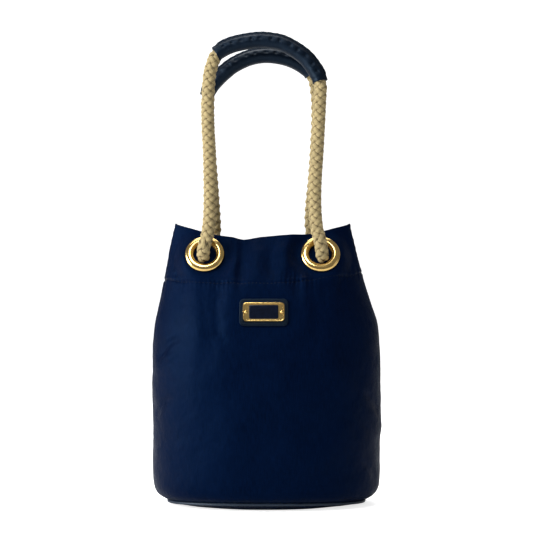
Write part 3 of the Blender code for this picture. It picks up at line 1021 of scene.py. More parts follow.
@dataclass
class GrommetPlace:
    """Where one grommet sits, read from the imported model."""

    face: Face
    end: End
    depth: float = 5.2 * MM
    flat_rim: float = 1.5 * MM
    fade_rim: float = 14.0 * MM
    normal: Vector = field(init=False)
    centre: Vector = field(init=False)
    radius: float = field(init=False)

    def __post_init__(self) -> None:
        """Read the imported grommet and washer."""
        washer = f"{self.face.value}_washer_{self.end.value}"
        grommet = f"{self.face.value}_grommet_{self.end.value}"
        self.normal = face_normal(washer)
        middle = box_centre(washer)
        low, high = along_normal(grommet, self.normal)
        self.centre = middle + self.normal * (low + self.depth - middle.dot(self.normal))
        box_low, box_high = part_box(grommet)
        self.radius = (box_high.x - box_low.x) / 2

    def seat(self) -> Seat:
        """The flat of the cloth under the grommet."""
        flat, fade = self.radius + self.flat_rim, self.radius + self.fade_rim
        return Seat(self.centre, self.normal, flat, fade)


@dataclass
class Grommet:
    """Eyelet: a domed polished face, a rolled inner lip and a barrel through the cloth."""

    place: GrommetPlace
    hole: float = 9.65 * MM
    dome: float = 4.0 * MM
    foot: float = 0.9 * MM
    crest: float = 0.42
    edge: float = 0.25 * MM
    barrel: float = 0.7 * MM
    steps: int = 96

    def profile(self) -> np.ndarray:
        """Closed outline of radius and height, from the barrel's inner end over the dome.

        Returns:
            One row a point.
        """
        outer = self.place.radius
        crest = self.hole + (outer - self.hole) * self.crest
        rise = np.linspace(0.0, 0.5 * math.pi, 9)
        inner_arc = np.stack([
            crest - (crest - self.hole) * np.cos(rise),
            self.foot * 0.2 + (self.dome - self.foot * 0.2) * np.sin(rise),
        ], axis=1)
        outer_arc = np.stack([
            crest + (outer - crest) * np.sin(rise[1:]),
            self.foot + (self.dome - self.foot) * np.cos(rise[1:]) ** 0.8,
        ], axis=1)
        outer_arc[-1, 1] = self.foot + self.edge
        barrel, depth = self.hole + self.barrel, self.place.depth
        ends = [
            (outer - self.edge, self.foot), (barrel, self.foot), (barrel, -depth),
            (self.hole + self.barrel / 2, -depth), (self.hole, -depth + 0.4 * MM),
        ]
        return np.vstack([inner_arc, outer_arc, ends])

    def build(self, wardrobe: Wardrobe) -> bpy.types.Object:
        """Make the grommet and put it in its seat.

        Args:
            wardrobe: The finishes.

        Returns:
            The grommet.
        """
        where = f"{self.place.face.value}_grommet_{self.place.end.value}"
        piece = turned(f"{where}_eyelet", self.profile(), self.steps, wardrobe.gold)
        piece.data.set_sharp_from_angle(angle=math.radians(50.0))
        piece.matrix_world = basis(self.place.centre, self.place.normal)
        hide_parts(where)
        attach(piece, "root")
        report(piece)
        return piece


# --------------------------------------------------------------------------------------------
# Nylon body
# --------------------------------------------------------------------------------------------


@dataclass(frozen=True)
class Fold:
    """A soft ridge (positive height) or valley (negative) along a line on one face.

    The line runs from low to high, both as sideways place and height.
    """

    low: tuple[float, float]
    high: tuple[float, float]
    width: float
    height: float
    bow: float = 0.0

    def lift(self, x: np.ndarray, z: np.ndarray) -> np.ndarray:
        """How far the fold lifts the cloth.

        Args:
            x: Sideways places on the face.
            z: Heights of those places.

        Returns:
            Distances along the cloth's normal.
        """
        start = np.array(self.low)
        line = np.array(self.high) - start
        length = np.linalg.norm(line)
        across = np.array([line[1], -line[0]]) / length
        along = ((x - start[0]) * line[0] + (z - start[1]) * line[1]) / length**2
        offset = (x - start[0]) * across[0] + (z - start[1]) * across[1]
        offset = offset - self.bow * np.sin(math.pi * np.clip(along, 0.0, 1.0))
        ends = smoothstep(-0.12, 0.3, along) * (1.0 - smoothstep(0.7, 1.12, along))
        return self.height * ends * np.exp(-((offset / self.width) ** 2))


def mm_fold(low: tuple[float, float], high: tuple[float, float], width: float, height: float,
            bow: float = 0.0) -> Fold:
    """Fold given in millimetres."""
    scaled = [(point[0] * MM, point[1] * MM) for point in (low, high)]
    return Fold(scaled[0], scaled[1], width * MM, height * MM, bow * MM)


FRONT_FOLDS = (
    mm_fold((-31, 176), (-30, 240), 5.0, 1.7, 1.5),
    mm_fold((-22, 172), (-20, 238), 5.5, -1.8, -2.0),
    mm_fold((-11, 176), (-9, 238), 6.5, 1.5, 1.0),
    mm_fold((2, 182), (4, 236), 5.0, -0.9),
    mm_fold((14, 180), (14, 240), 6.0, 1.1, 1.5),
    mm_fold((25, 178), (27, 240), 5.5, -1.1, -1.0),
    mm_fold((34, 150), (31, 206), 6.0, 0.9, 2.0),
    mm_fold((-42, 150), (-47, 206), 6.0, -0.9, 2.0),
    mm_fold((-62, 120), (-66, 206), 8.0, 1.0, 3.0),
    mm_fold((-78, 150), (-74, 226), 5.0, -0.8, 2.0),
    mm_fold((66, 178), (72, 240), 5.0, -0.9, -2.0),
    mm_fold((58, 120), (66, 200), 9.0, 1.0, -4.0),
    mm_fold((-96, 128), (-74, 152), 3.2, -1.3, -4.0),
    mm_fold((-98, 118), (-80, 136), 4.0, 1.2, -3.0),
    mm_fold((-99, 78), (-84, 98), 3.2, -1.1, -3.0),
    mm_fold((99, 80), (86, 104), 3.4, -1.2, 3.0),
    mm_fold((101, 62), (90, 88), 4.0, 1.1, 3.0),
    mm_fold((99, 20), (84, 42), 3.2, -1.1, 3.0),
    mm_fold((70, 96), (38, 150), 11.0, 1.2, 6.0),
    mm_fold((30, 40), (74, 84), 12.0, 1.0, 6.0),
    mm_fold((-60, 24), (-20, 92), 14.0, 0.9, 8.0),
)
BACK_FOLDS = (
    mm_fold((-36, 164), (-34, 240), 5.5, 1.7, 1.5),
    mm_fold((-26, 156), (-24, 238), 5.0, -1.5, -2.0),
    mm_fold((-12, 170), (-14, 238), 6.0, 1.3, 1.0),
    mm_fold((0, 176), (1, 236), 5.5, -1.2),
    mm_fold((12, 160), (11, 240), 6.0, 1.6, 1.5),
    mm_fold((24, 168), (22, 240), 5.5, -1.2, -1.0),
    mm_fold((-66, 130), (-62, 206), 8.0, 1.0, 3.0),
    mm_fold((64, 120), (60, 202), 8.0, 1.1, -3.0),
    mm_fold((-97, 110), (-78, 140), 3.6, -1.2, -4.0),
    mm_fold((97, 96), (80, 120), 3.6, -1.2, 4.0),
    mm_fold((60, 70), (20, 130), 12.0, 1.2, 6.0),
    mm_fold((-70, 40), (-24, 104), 13.0, 1.1, 8.0),
)


@dataclass
class BagShape:
    """Outer face of the body: an oval base that narrows to a pinched mouth with two ears.

    Each level holds a height at the side seam, the half width, the half depth and the pinch.
    """

    seats: list[Seat]
    levels: tuple[tuple[float, ...], ...] = (
        (0.0045, 0.0885, 0.0545, 0.95),
        (0.0070, 0.0938, 0.0572, 0.95),
        (0.0110, 0.0985, 0.0592, 0.95),
        (0.0180, 0.1013, 0.0606, 0.95),
        (0.0320, 0.1022, 0.0614, 0.95),
        (0.0600, 0.1022, 0.0620, 0.95),
        (0.1200, 0.1025, 0.0600, 0.98),
        (0.1600, 0.1002, 0.0530, 1.02),
        (0.1850, 0.0940, 0.0462, 1.08),
        (0.2050, 0.0892, 0.0392, 1.14),
        (0.2280, 0.0846, 0.0290, 1.20),
        (0.2507, 0.0793, 0.0180, 1.25),
    )
    rim_dip: float = 11.5 * MM
    seam_rise: float = 3.5 * MM
    seam_fall: float = 10.0 * MM
    lean: float = -3.4 * MM
    lean_start: float = 155.0 * MM
    lean_end: float = 225.0 * MM
    droop: float = 3.4 * MM
    droop_place: float = -21.0 * MM
    droop_width: float = 13.5 * MM
    lift: float = 0.8 * MM
    lift_place: float = 36.0 * MM
    lift_width: float = 30.0 * MM
    corner_power: float = 0.92
    hem_start: float = 0.81
    pucker_pitch: float = 3.9 * MM
    pucker_height: float = 0.34 * MM
    pucker_reach: float = 4.2 * MM
    pucker_fade: float = 13.0 * MM
    sway: float = 1.1 * MM
    sway_size: float = 55.0 * MM
    crumple: float = 0.22 * MM
    crumple_size: float = 13.0 * MM
    stitch_sink: float = 0.55 * MM
    stitch_width: float = 0.9 * MM
    hem_ridge: float = 0.35 * MM
    hem_ridge_rise: float = 2.4 * MM
    hem_ridge_width: float = 1.5 * MM
    seam_sink: float = 0.7 * MM
    seam_width: float = 1.1 * MM
    seam_pitch: float = 6.5 * MM
    gather_height: float = 0.16 * MM
    gather_fade: float = 5.0 * MM

    @property
    def foot(self) -> float:
        """Height of the wall's lower edge."""
        return self.levels[0][0]

    @property
    def ear(self) -> float:
        """Height of the mouth's corners."""
        return self.levels[-1][0]

    def level(self, height: np.ndarray) -> np.ndarray:
        """Half width, half depth and pinch at heights, on a smooth curve through the levels.

        Args:
            height: Heights at the side seam.

        Returns:
            The three values, along the first axis.
        """
        table = np.array(self.levels)
        marks = table[:, 0]
        padded = np.vstack([table[:1], table, table[-1:]])
        rise = padded[2:] - padded[:-2]
        slopes = rise[:, 1:] / rise[:, :1]
        span = np.clip(np.searchsorted(marks, height, side="right") - 1, 0, len(marks) - 2)
        step = marks[span + 1] - marks[span]
        u = ((height - marks[span]) / step)[..., None]
        wide = step[..., None]
        low, high = table[span, 1:], table[span + 1, 1:]
        value = (
            (2 * u**3 - 3 * u**2 + 1) * low + (u**3 - 2 * u**2 + u) * slopes[span] * wide
            + (3 * u**2 - 2 * u**3) * high + (u**3 - u**2) * slopes[span + 1] * wide
        )
        return np.moveaxis(value, -1, 0)

    def seam_lift(self, theta: np.ndarray) -> np.ndarray:
        """How far the base seam rises at angles round the body."""
        return self.seam_rise * np.abs(np.sin(theta)) ** 1.5

    def raw(self, theta: np.ndarray, t: np.ndarray) -> np.ndarray:
        """Smooth wall, before folds and fittings.

        Args:
            theta: Angle round the body from the right-hand seam over the front.
            t: Height up the wall, from 0 at its lower edge to 1 at the mouth.

        Returns:
            Points along the last axis.
        """
        side_height = self.foot + t * (self.ear - self.foot)
        half_width, half_depth, pinch = self.level(side_height)
        across, along = np.cos(theta), np.sin(theta)
        lean = self.lean * smoothstep(self.lean_start, self.lean_end, side_height)
        x = lean + half_width * np.sign(across) * np.abs(across) ** self.corner_power
        y = -half_depth * np.sign(along) * np.abs(along) ** pinch
        lift = self.seam_lift(theta) * np.exp((self.foot - side_height) / self.seam_fall)
        z = side_height + lift - self.rim_dip * np.abs(along) ** 2 * t**3
        droop = self.droop * np.exp(-(((x - self.droop_place) / self.droop_width) ** 2))
        rise = self.lift * np.exp(-(((x - self.lift_place) / self.lift_width) ** 2))
        droop, rise = droop * smoothstep(0.80, 1.0, t), rise * smoothstep(0.75, 1.0, t)
        return np.stack([x, y, z - (droop - rise) * np.abs(along)], axis=-1)

    def normal(self, theta: np.ndarray, t: np.ndarray) -> np.ndarray:
        """Outward normals of the smooth wall.

        Args:
            theta: Angle round the body.
            t: Height up the wall.

        Returns:
            Normals along the last axis.
        """
        step = 5e-4
        turn = self.raw(theta + step, t) - self.raw(theta - step, t)
        upper, lower = np.minimum(t + step, 1.0), np.maximum(t - step, 0.0)
        return unit(np.cross(self.raw(theta, upper) - self.raw(theta, lower), turn))

    def hem_line(self, theta: np.ndarray) -> np.ndarray:
        """Stitch line of the hem, which is not quite level.

        Args:
            theta: Angle round the body.

        Returns:
            Heights up the wall, from 0 to 1.
        """
        rise = (0.8 + 3.0 * np.cos(theta) - 0.7 * np.cos(theta) ** 2) * MM
        wander = 0.5 * MM * np.sin(theta * 7.0 + 0.8)
        return self.hem_start + (rise + wander) / (self.ear - self.foot)

    def relief(self, theta: np.ndarray, t: np.ndarray, points: np.ndarray) -> np.ndarray:
        """Lift of the cloth by folds, puckers and seams.

        Args:
            theta: Angle round the body.
            t: Height up the wall.
            points: Smooth wall points at those places.

        Returns:
            Distances along the normal.
        """
        x, z = points[..., 0], points[..., 2]
        front = np.sin(theta) > 0
        lift = np.zeros_like(x)
        for folds, where in ((FRONT_FOLDS, front), (BACK_FOLDS, ~front)):
            for fold in folds:
                lift += np.where(where, fold.lift(x, z), 0.0)
        flat = points.reshape(-1, 3)
        sway = cloudy(flat, self.sway_size, 3.1).reshape(x.shape)
        lift += self.sway * sway * smoothstep(0.0, 0.25, t)
        lift += self.crumple * cloudy(flat, self.crumple_size, 7.7, 3).reshape(x.shape)

        strength = 0.45 + 0.9 * smoothstep(-0.35, 0.45, cloudy(flat, 0.030, 12.3).reshape(x.shape))
        strength *= 1.0 - 0.65 * smoothstep(0.030, 0.060, x) * front
        drift = 0.9 * cloudy(flat * np.array([1.0, 1.0, 0.0]), 0.011, 5.5).reshape(x.shape)
        wave = np.cos(TAU * x / self.pucker_pitch + 2.4 * drift)
        distance = (t - self.hem_line(theta)) * (self.ear - self.foot)
        reach = np.exp(-np.abs(distance) / self.pucker_reach)
        long_reach = np.exp(-np.abs(distance) / self.pucker_fade)
        slow = np.cos(TAU * x / (3.1 * self.pucker_pitch) + 3.0 * drift + 1.0)
        lift += self.pucker_height * strength * (wave * reach + 0.9 * slow * long_reach)
        lift -= self.stitch_sink * np.exp(-((distance / self.stitch_width) ** 2))
        above = (distance - self.hem_ridge_rise) / self.hem_ridge_width
        lift += self.hem_ridge * np.exp(-(above**2))

        side_seam = np.exp(-((points[..., 1] / self.seam_width) ** 2)) * (np.abs(x) > 0.06)
        ripple = 0.6 + 0.4 * np.cos(TAU * z / self.seam_pitch)
        lift -= self.seam_sink * side_seam * ripple
        gather = np.exp(-(z - self.foot) / self.gather_fade)
        lift += self.gather_height * gather * np.cos(theta * 110.0 + 2.0 * drift)
        return lift

    def settle(self, points: np.ndarray, inset: float) -> np.ndarray:
        """Lay the cloth flat under each hard fitting.

        Args:
            points: Cloth points.
            inset: How far this layer lies inside the outer face.

        Returns:
            The points, moved where a fitting presses.
        """
        for seat in self.seats:
            normal, centre = np.array(seat.normal), np.array(seat.centre)
            offset = points - centre
            share = 1.0 - smoothstep(seat.flat, seat.fade, np.linalg.norm(offset, axis=-1))
            share = share * smoothstep(0.0, 0.010, points[..., 1] * math.copysign(1.0, normal[1]))
            height = offset @ normal + inset
            points = points - normal * (height * share)[..., None]
        return points

    def cloth(self, theta: np.ndarray, t: np.ndarray, inset: float,
              folds: float = 1.0) -> np.ndarray:
        """Points of a cloth layer, with its folds, laid flat under the fittings.

        Args:
            theta: Angle round the body.
            t: Height up the wall.
            inset: How far the layer lies inside the outer face.
            folds: Share of the folds that this layer shows.

        Returns:
            Points along the last axis.
        """
        smooth = self.raw(theta, t)
        lift = self.relief(theta, t, smooth) * folds - inset
        return self.settle(smooth + self.normal(theta, t) * lift[..., None], inset)


@dataclass
class NylonPanel:
    """One nylon panel with the hem that is turned in at the mouth."""

    shape: BagShape
    face: Face
    columns: int = 300
    fold_radius: float = 0.95 * MM
    cloth: float = 0.45 * MM

    def levels_up(self) -> np.ndarray:
        """Heights of the rows, close together about the hem.

        Returns:
            Heights up the wall, from 0 to 1.
        """
        lower = np.linspace(0.0, 0.70, 110, endpoint=False)
        middle = np.linspace(0.70, 0.88, 96, endpoint=False)
        upper = np.linspace(0.88, 1.0, 34)
        return np.concatenate([lower, middle, upper])

    def build(self, wardrobe: Wardrobe) -> bpy.types.Object:
        """Make the panel.

        Args:
            wardrobe: The finishes.

        Returns:
            The panel.
        """
        start = 0.0 if self.face is Face.FRONT else math.pi
        theta = start + np.linspace(0.0, math.pi, self.columns + 1)
        rise = self.levels_up()
        grid_t, grid_theta = np.meshgrid(rise, theta, indexing="ij")
        outside = self.shape.cloth(grid_theta, grid_t, 0.0)
        bends = np.linspace(0.0, math.pi, 9)[1:-1]
        crown = []
        rim_t = np.ones_like(theta)
        for bend in bends:
            inset = self.fold_radius * (1.0 - math.cos(bend))
            row = self.shape.cloth(theta, rim_t, inset)
            row[:, 2] += self.fold_radius * math.sin(bend)
            crown.append(row)
        inner_rise = np.linspace(1.0, self.shape.hem_start + 0.004, 40)
        inner_t, inner_theta = np.meshgrid(inner_rise, theta, indexing="ij")
        inside = self.shape.cloth(inner_theta, inner_t, 2.0 * self.fold_radius, 0.8)
        rows = np.concatenate([outside, np.array(crown), inside])
        length = self.shape.ear - self.shape.foot
        v = np.concatenate([rise, 1.0 + bends * 0.004, 1.02 + (1.0 - inner_rise)]) * length
        u = (theta - start) * 0.088
        flat = np.stack(np.meshgrid(u, v), axis=-1)
        piece = skin(f"{self.face.value}_panel_cloth", rows[:, ::-1], wardrobe.nylon,
                     flat=flat[:, ::-1])
        thicken(piece, self.cloth)
        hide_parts(f"{self.face.value}_panel", f"{self.face.value}_hem")
        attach(piece, "root")
        report(piece)
        return piece


@dataclass
class Stitching:
    """A row of lockstitches along a line on a surface."""

    name: str
    length: float = 2.3 * MM
    pitch: float = 3.3 * MM
    radius: float = 0.20 * MM

    def build(self, line: np.ndarray, normals: np.ndarray,
              material: bpy.types.Material) -> bpy.types.Object:
        """Sew the stitches.

        Args:
            line: Dense points on the surface.
            normals: The surface's normals there.
            material: The thread's finish.

        Returns:
            One object with every stitch.
        """
        lengths = np.concatenate([[0.0], np.cumsum(np.linalg.norm(np.diff(line, axis=0), axis=1))])
        starts = np.arange(self.pitch, lengths[-1] - self.pitch, self.pitch)
        stations = np.linspace(0.0, 1.0, 7)
        around = np.arange(6) * TAU / 6
        vertices: list[list[float]] = []
        faces: list[tuple[int, ...]] = []
        for start in starts:
            along = start + stations * self.length
            path = np.stack([np.interp(along, lengths, line[:, k]) for k in range(3)], axis=1)
            up = unit(np.stack(
                [np.interp(along, lengths, normals[:, k]) for k in range(3)], axis=1
            ))
            forward = unit(np.gradient(path, axis=0))
            side = unit(np.cross(forward, up))
            arch = np.sin(math.pi * stations)
            thick = self.radius * (0.45 + 0.55 * np.sqrt(np.maximum(arch, 0.0)))
            centre = path + up * (self.radius * (arch * 1.3 - 0.9))[:, None]
            first = len(vertices)
            for i in range(len(stations)):
                ring = centre[i] + thick[i] * (
                    np.outer(np.cos(around), side[i]) + np.outer(np.sin(around), up[i])
                )
                vertices.extend(ring.tolist())
            for i in range(len(stations) - 1):
                for k in range(6):
                    low, high = first + 6 * i, first + 6 * (i + 1)
                    faces.append((low + k, low + (k + 1) % 6, high + (k + 1) % 6, high + k))
            faces.append(tuple(first + k for k in range(5, -1, -1)))
            last = first + 6 * (len(stations) - 1)
            faces.append(tuple(last + k for k in range(6)))
        mesh = bpy.data.meshes.new(self.name)
        mesh.from_pydata(vertices, [], faces)
        mesh.shade_smooth()
        piece = new_piece(self.name, mesh, material)
        weld(piece, 1e-7)
        report(piece)
        return piece


@dataclass
class Lining:
    """Cloth bucket inside the bag, sewn to the hem, with its floor on the base board."""

    shape: BagShape
    inset: float = 2.5 * MM
    floor: float = 4.6 * MM
    sag: float = 2.2 * MM
    cloth: float = 0.35 * MM
    columns: int = 260

    def build(self, wardrobe: Wardrobe) -> bpy.types.Object:
        """Make the lining.

        Args:
            wardrobe: The finishes.

        Returns:
            The lining.
        """
        theta = np.arange(self.columns) * TAU / self.columns
        rise = np.linspace(0.0, 1.0, 110) ** 1.3 * (self.shape.hem_start + 0.02)
        grid_t, grid_theta = np.meshgrid(rise, theta, indexing="ij")
        wall = self.shape.cloth(grid_theta, grid_t, self.inset, 0.6)
        sag = np.abs(cloudy(wall.reshape(-1, 3), 0.03, 21.0).reshape(grid_t.shape))
        inwards = wall * np.array([-1.0, -1.0, 0.0])
        depth = self.sag * sag * smoothstep(0.0, 0.2, grid_t) * (1 - smoothstep(0.7, 0.8, grid_t))
        wall = wall + unit(inwards) * depth[..., None]
        fractions = np.concatenate([np.linspace(0.0, 0.84, 22), np.linspace(0.86, 0.955, 8)])
        rim = self.shape.raw(theta, np.zeros_like(theta))
        floor = rim[None] * fractions[:, None, None]
        curl = np.clip((fractions - 0.78) / 0.175, 0.0, 1.0)[:, None] ** 2
        floor[..., 2] = self.floor + curl * (1.2 * MM + 0.8 * self.shape.seam_lift(theta)[None])
        rows = np.concatenate([floor, wall])
        v = np.concatenate([fractions * 0.08, 0.08 + rise * 0.235])
        u = np.append(theta, TAU) * 0.085
        flat = np.stack(np.meshgrid(u, v), axis=-1)
        piece = skin("lining_bucket", rows[:, ::-1], wardrobe.lining, closed=True,
                     flat=flat[:, ::-1])
        weld(piece)
        turn_outwards(piece)
        thicken(piece, self.cloth)
        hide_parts("lining")
        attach(piece, "root")
        report(piece)
        return piece


def turn_outwards(piece: bpy.types.Object) -> None:
    """Make an open bucket's faces look away from its middle.

    Args:
        piece: The bucket.
    """
    mesh = piece.data
    total = sum(
        polygon.normal.xy.dot(polygon.center.xy) * polygon.area for polygon in mesh.polygons
    )
    if total < 0:
        mesh.flip_normals()


@dataclass
class Base:
    """Sagging base panel and the piping sewn into its seam."""

    shape: BagShape
    sag_start: float = 0.70
    sag_power: float = 2.0
    edge: float = 0.966
    edge_drop: float = 2.7 * MM
    columns: int = 240
    cloth: float = 0.9 * MM
    pucker: float = 0.25 * MM
    belly: float = 0.35 * MM
    piping_radius: float = 1.3 * MM
    piping_drop: float = 1.35 * MM
    piping_set_back: float = 0.6 * MM

    def outline(self, theta: np.ndarray) -> np.ndarray:
        """Full outline of the wall's lower edge."""
        return self.shape.raw(theta, np.zeros_like(theta))

    def build_panel(self, wardrobe: Wardrobe) -> bpy.types.Object:
        """Make the base panel.

        Args:
            wardrobe: The finishes.

        Returns:
            The base panel.
        """
        theta = np.arange(self.columns) * TAU / self.columns
        fractions = np.concatenate([
            np.linspace(0.0, self.sag_start, 12, endpoint=False),
            np.linspace(self.sag_start, self.edge, 26),
        ])
        outline = self.outline(theta)
        rows = outline[None] * fractions[:, None, None]
        part = np.clip((fractions - self.sag_start) / (self.edge - self.sag_start), 0.0, 1.0)
        rows[..., 2] = np.outer(part**self.sag_power, outline[:, 2] - self.edge_drop)
        rows[0, :, 2] = 0.0
        pucker = 0.5 + 0.5 * np.cos(theta * 46.0 + 1.5 * np.sin(theta * 5.0))
        gathered = smoothstep(0.88, 0.97, fractions)[:, None]
        rows[..., 2] += self.pucker * gathered * pucker[None]
        belly = smoothstep(0.1, 0.5, part)[:, None] * (1 - smoothstep(0.6, 1.0, part))[:, None]
        rows[..., 2] += self.belly * belly * (0.5 + 0.5 * np.sin(theta * 9.0 + 1.0))[None]
        v = fractions * 0.08
        flat = np.stack(np.meshgrid(np.append(theta, TAU) * 0.085, v), axis=-1)
        piece = skin("base_cloth", rows, wardrobe.nylon, closed=True, flat=flat)
        weld(piece)
        down = sum(polygon.normal.z * polygon.area for polygon in piece.data.polygons)
        if down > 0:
            piece.data.flip_normals()
        thicken(piece, self.cloth)
        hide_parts("base_panel")
        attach(piece, "root")
        report(piece)
        return piece

    def build_piping(self, wardrobe: Wardrobe) -> bpy.types.Object:
        """Make the piping: a covered cord that rides in the base seam.

        Args:
            wardrobe: The finishes.

        Returns:
            The piping.
        """
        count = 720
        theta = np.arange(count) * TAU / count
        line = self.outline(theta)
        outward = unit(line * np.array([0.35, 1.0, 0.0]))
        line = line - outward * self.piping_set_back
        line[:, 2] -= self.piping_drop
        around = np.arange(14) * TAU / 14
        tangents = unit(np.roll(line, -1, axis=0) - np.roll(line, 1, axis=0))
        up = np.array([0.0, 0.0, 1.0])
        sides = unit(np.cross(tangents, up))
        wraps = 1.0 + 0.05 * np.cos(theta[:, None] * 130.0 + around[None] * 1.0)
        rings = line[:, None] + self.piping_radius * wraps[..., None] * (
            np.cos(around)[None, :, None] * sides[:, None]
            + np.sin(around)[None, :, None] * up
        )
        rows = np.concatenate([rings, rings[:1]])
        flat = np.stack(np.meshgrid(
            np.arange(15) / 14 * TAU * self.piping_radius, np.append(theta, TAU) * 0.085,
        ), axis=-1)
        piece = skin("base_piping_cord", rows, wardrobe.piping, closed=True, flat=flat)
        weld(piece)
        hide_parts("base_piping")
        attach(piece, "root")
        report(piece)
        return piece


# --------------------------------------------------------------------------------------------
# Handles
# --------------------------------------------------------------------------------------------


@dataclass
class HandleShape:
    """Centre line of one handle, flat in its own leaning plane.

    The route gives the sideways place and the height above the hinge line, from the left
    grommet over the grip to the right one. The grip lies between two of its points.
    """

    face: Face
    route: tuple[tuple[float, float], ...]
    grip: tuple[int, int]
    top_y: float = 9.5 * MM
    hinge: Vector = field(init=False)
    lean: float = field(init=False)

    def __post_init__(self) -> None:
        """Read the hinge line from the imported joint."""
        name = f"{self.face.value}_handle_swing"
        joint = next(item for item in frame["joints"] if item["name"] == name)
        self.hinge = Vector(joint["pos_m"])
        top = max(height for _, height in self.route)
        self.lean = math.asin((abs(self.hinge.y) - self.top_y) / top)

    def world(self, x: float, height: float) -> np.ndarray:
        """Point of the handle's plane in the frame of the bag."""
        y = self.hinge.y - self.face.side * math.sin(self.lean) * height
        return np.array([x, y, self.hinge.z + math.cos(self.lean) * height])

    def plane_normal(self) -> np.ndarray:
        """Direction out of the handle's plane, to the outside of the bag."""
        side = self.face.side
        return np.array([0.0, side * math.cos(self.lean), math.sin(self.lean)])

    def centre_line(self, left: float, right: float, steps: int = 12) -> np.ndarray:
        """Dense line over the whole handle.

        Args:
            left: Sideways place of its left end on the hinge line.
            right: Sideways place of its right end there.
            steps: Points on each span of the route.

        Returns:
            The dense points.
        """
        points = [self.world(left, 0.0)]
        points += [self.world(x, height) for x, height in self.route]
        points.append(self.world(right, 0.0))
        return smooth_line(np.array(points), steps)


FRONT_ROUTE = (
    (-0.0523, 0.0113), (-0.0500, 0.0363), (-0.0507, 0.0847), (-0.0521, 0.1109),
    (-0.0520, 0.1390), (-0.0508, 0.1573), (-0.0486, 0.1650), (-0.0450, 0.1746),
    (-0.0353, 0.1812), (-0.0240, 0.1849), (-0.0080, 0.1874), (0.0039, 0.1868),
    (0.0159, 0.1838), (0.0318, 0.1739), (0.0411, 0.1630), (0.0476, 0.1501),
    (0.0475, 0.1335), (0.0453, 0.0919), (0.0428, 0.0506), (0.0441, 0.0202),
)
BACK_ROUTE = (
    (-0.0478, 0.0150), (-0.0482, 0.0350), (-0.0518, 0.0880), (-0.0532, 0.1145),
    (-0.0536, 0.1395), (-0.0504, 0.1480), (-0.0440, 0.1556), (-0.0367, 0.1624),
    (-0.0286, 0.1684), (-0.0150, 0.1745), (0.0000, 0.1768), (0.0165, 0.1746),
    (0.0300, 0.1690), (0.0405, 0.1605), (0.0450, 0.1490), (0.0466, 0.1200),
    (0.0440, 0.0700), (0.0406, 0.0270),
)


@dataclass
class BraidedRope:
    """Eight strands plaited over and under each other round a core."""

    radius: float = 6.1 * MM
    lay: float = 28.8 * MM
    strand_width: float = 2.35 * MM
    strand_height: float = 1.60 * MM
    swing: float = 0.95 * MM
    spacing: float = 0.60 * MM
    sides: int = 14
    turn: float = math.radians(22.5)

    def strand(self, line: np.ndarray, along: np.ndarray, normals: np.ndarray,
               binormals: np.ndarray, scale: np.ndarray, hand: float,
               number: int) -> tuple[np.ndarray, np.ndarray]:
        """Rings of one strand.

        Args:
            line: The rope's centre line.
            along: Distance of each point from its start.
            normals: Carried normals.
            binormals: Carried binormals.
            scale: Share of full thickness at each point.
            hand: 1 for a right-hand strand, -1 for a left-hand one.
            number: Which of the four strands of that hand.

        Returns:
            The rings and their flat coordinates.
        """
        angle = self.turn + hand * TAU * along / self.lay + number * TAU / 4
        reach = self.radius - self.strand_height - self.swing
        reach = (reach + hand * self.swing * np.cos(4 * TAU * along / self.lay)) * scale
        radial = np.cos(angle)[:, None] * normals + np.sin(angle)[:, None] * binormals
        centre = line + radial * reach[:, None]
        tangent = unit(np.gradient(centre, axis=0))
        side = unit(np.cross(tangent, radial))
        out = np.cross(side, tangent)
        around = np.arange(self.sides) * TAU / self.sides
        ridged = 1.0 + 0.07 * np.cos(around * 5.0)
        size = scale[:, None, None]
        wide = self.strand_width * size * (ridged * np.cos(around))[None, :, None]
        tall = self.strand_height * size * (ridged * np.sin(around))[None, :, None]
        rings = centre[:, None] + wide * side[:, None] + tall * out[:, None]
        flat = np.stack(np.meshgrid(np.arange(self.sides + 1) / self.sides, along), axis=-1)
        return rings, flat

    def build(self, name: str, line: np.ndarray, scale_at: list[tuple[float, float]],
              material: bpy.types.Material) -> bpy.types.Object:
        """Plait a rope along a line.

        Args:
            name: Name of the piece.
            line: Dense points of the centre line.
            scale_at: Distance from the end, from 0 to 1, and share of thickness there.
            material: Its finish.

        Returns:
            The rope.
        """
        points, along = spaced(line, self.spacing)
        marks, shares = zip(*scale_at)
        scale = np.interp(along, marks, shares)
        normals, binormals = carried_frames(points, np.array([0.0, -1.0, 0.3]))
        strands = []
        for hand in (1.0, -1.0):
            for number in range(4):
                rings, flat = self.strand(
                    points, along, normals, binormals, scale, hand, number
                )
                strands.append(skin(f"{name}_strand", rings, material, closed=True, flat=flat,
                                    caps=True))
        around = np.arange(12) * TAU / 12
        core_reach = (self.radius * 0.52 * scale)[:, None, None]
        core = points[::4, None] + core_reach[::4] * (
            np.cos(around)[None, :, None] * normals[::4, None]
            + np.sin(around)[None, :, None] * binormals[::4, None]
        )
        strands.append(skin(f"{name}_core", core, material, closed=True, caps=True))
        rope = join(name, strands)
        weld(rope, 1e-8)
        return rope


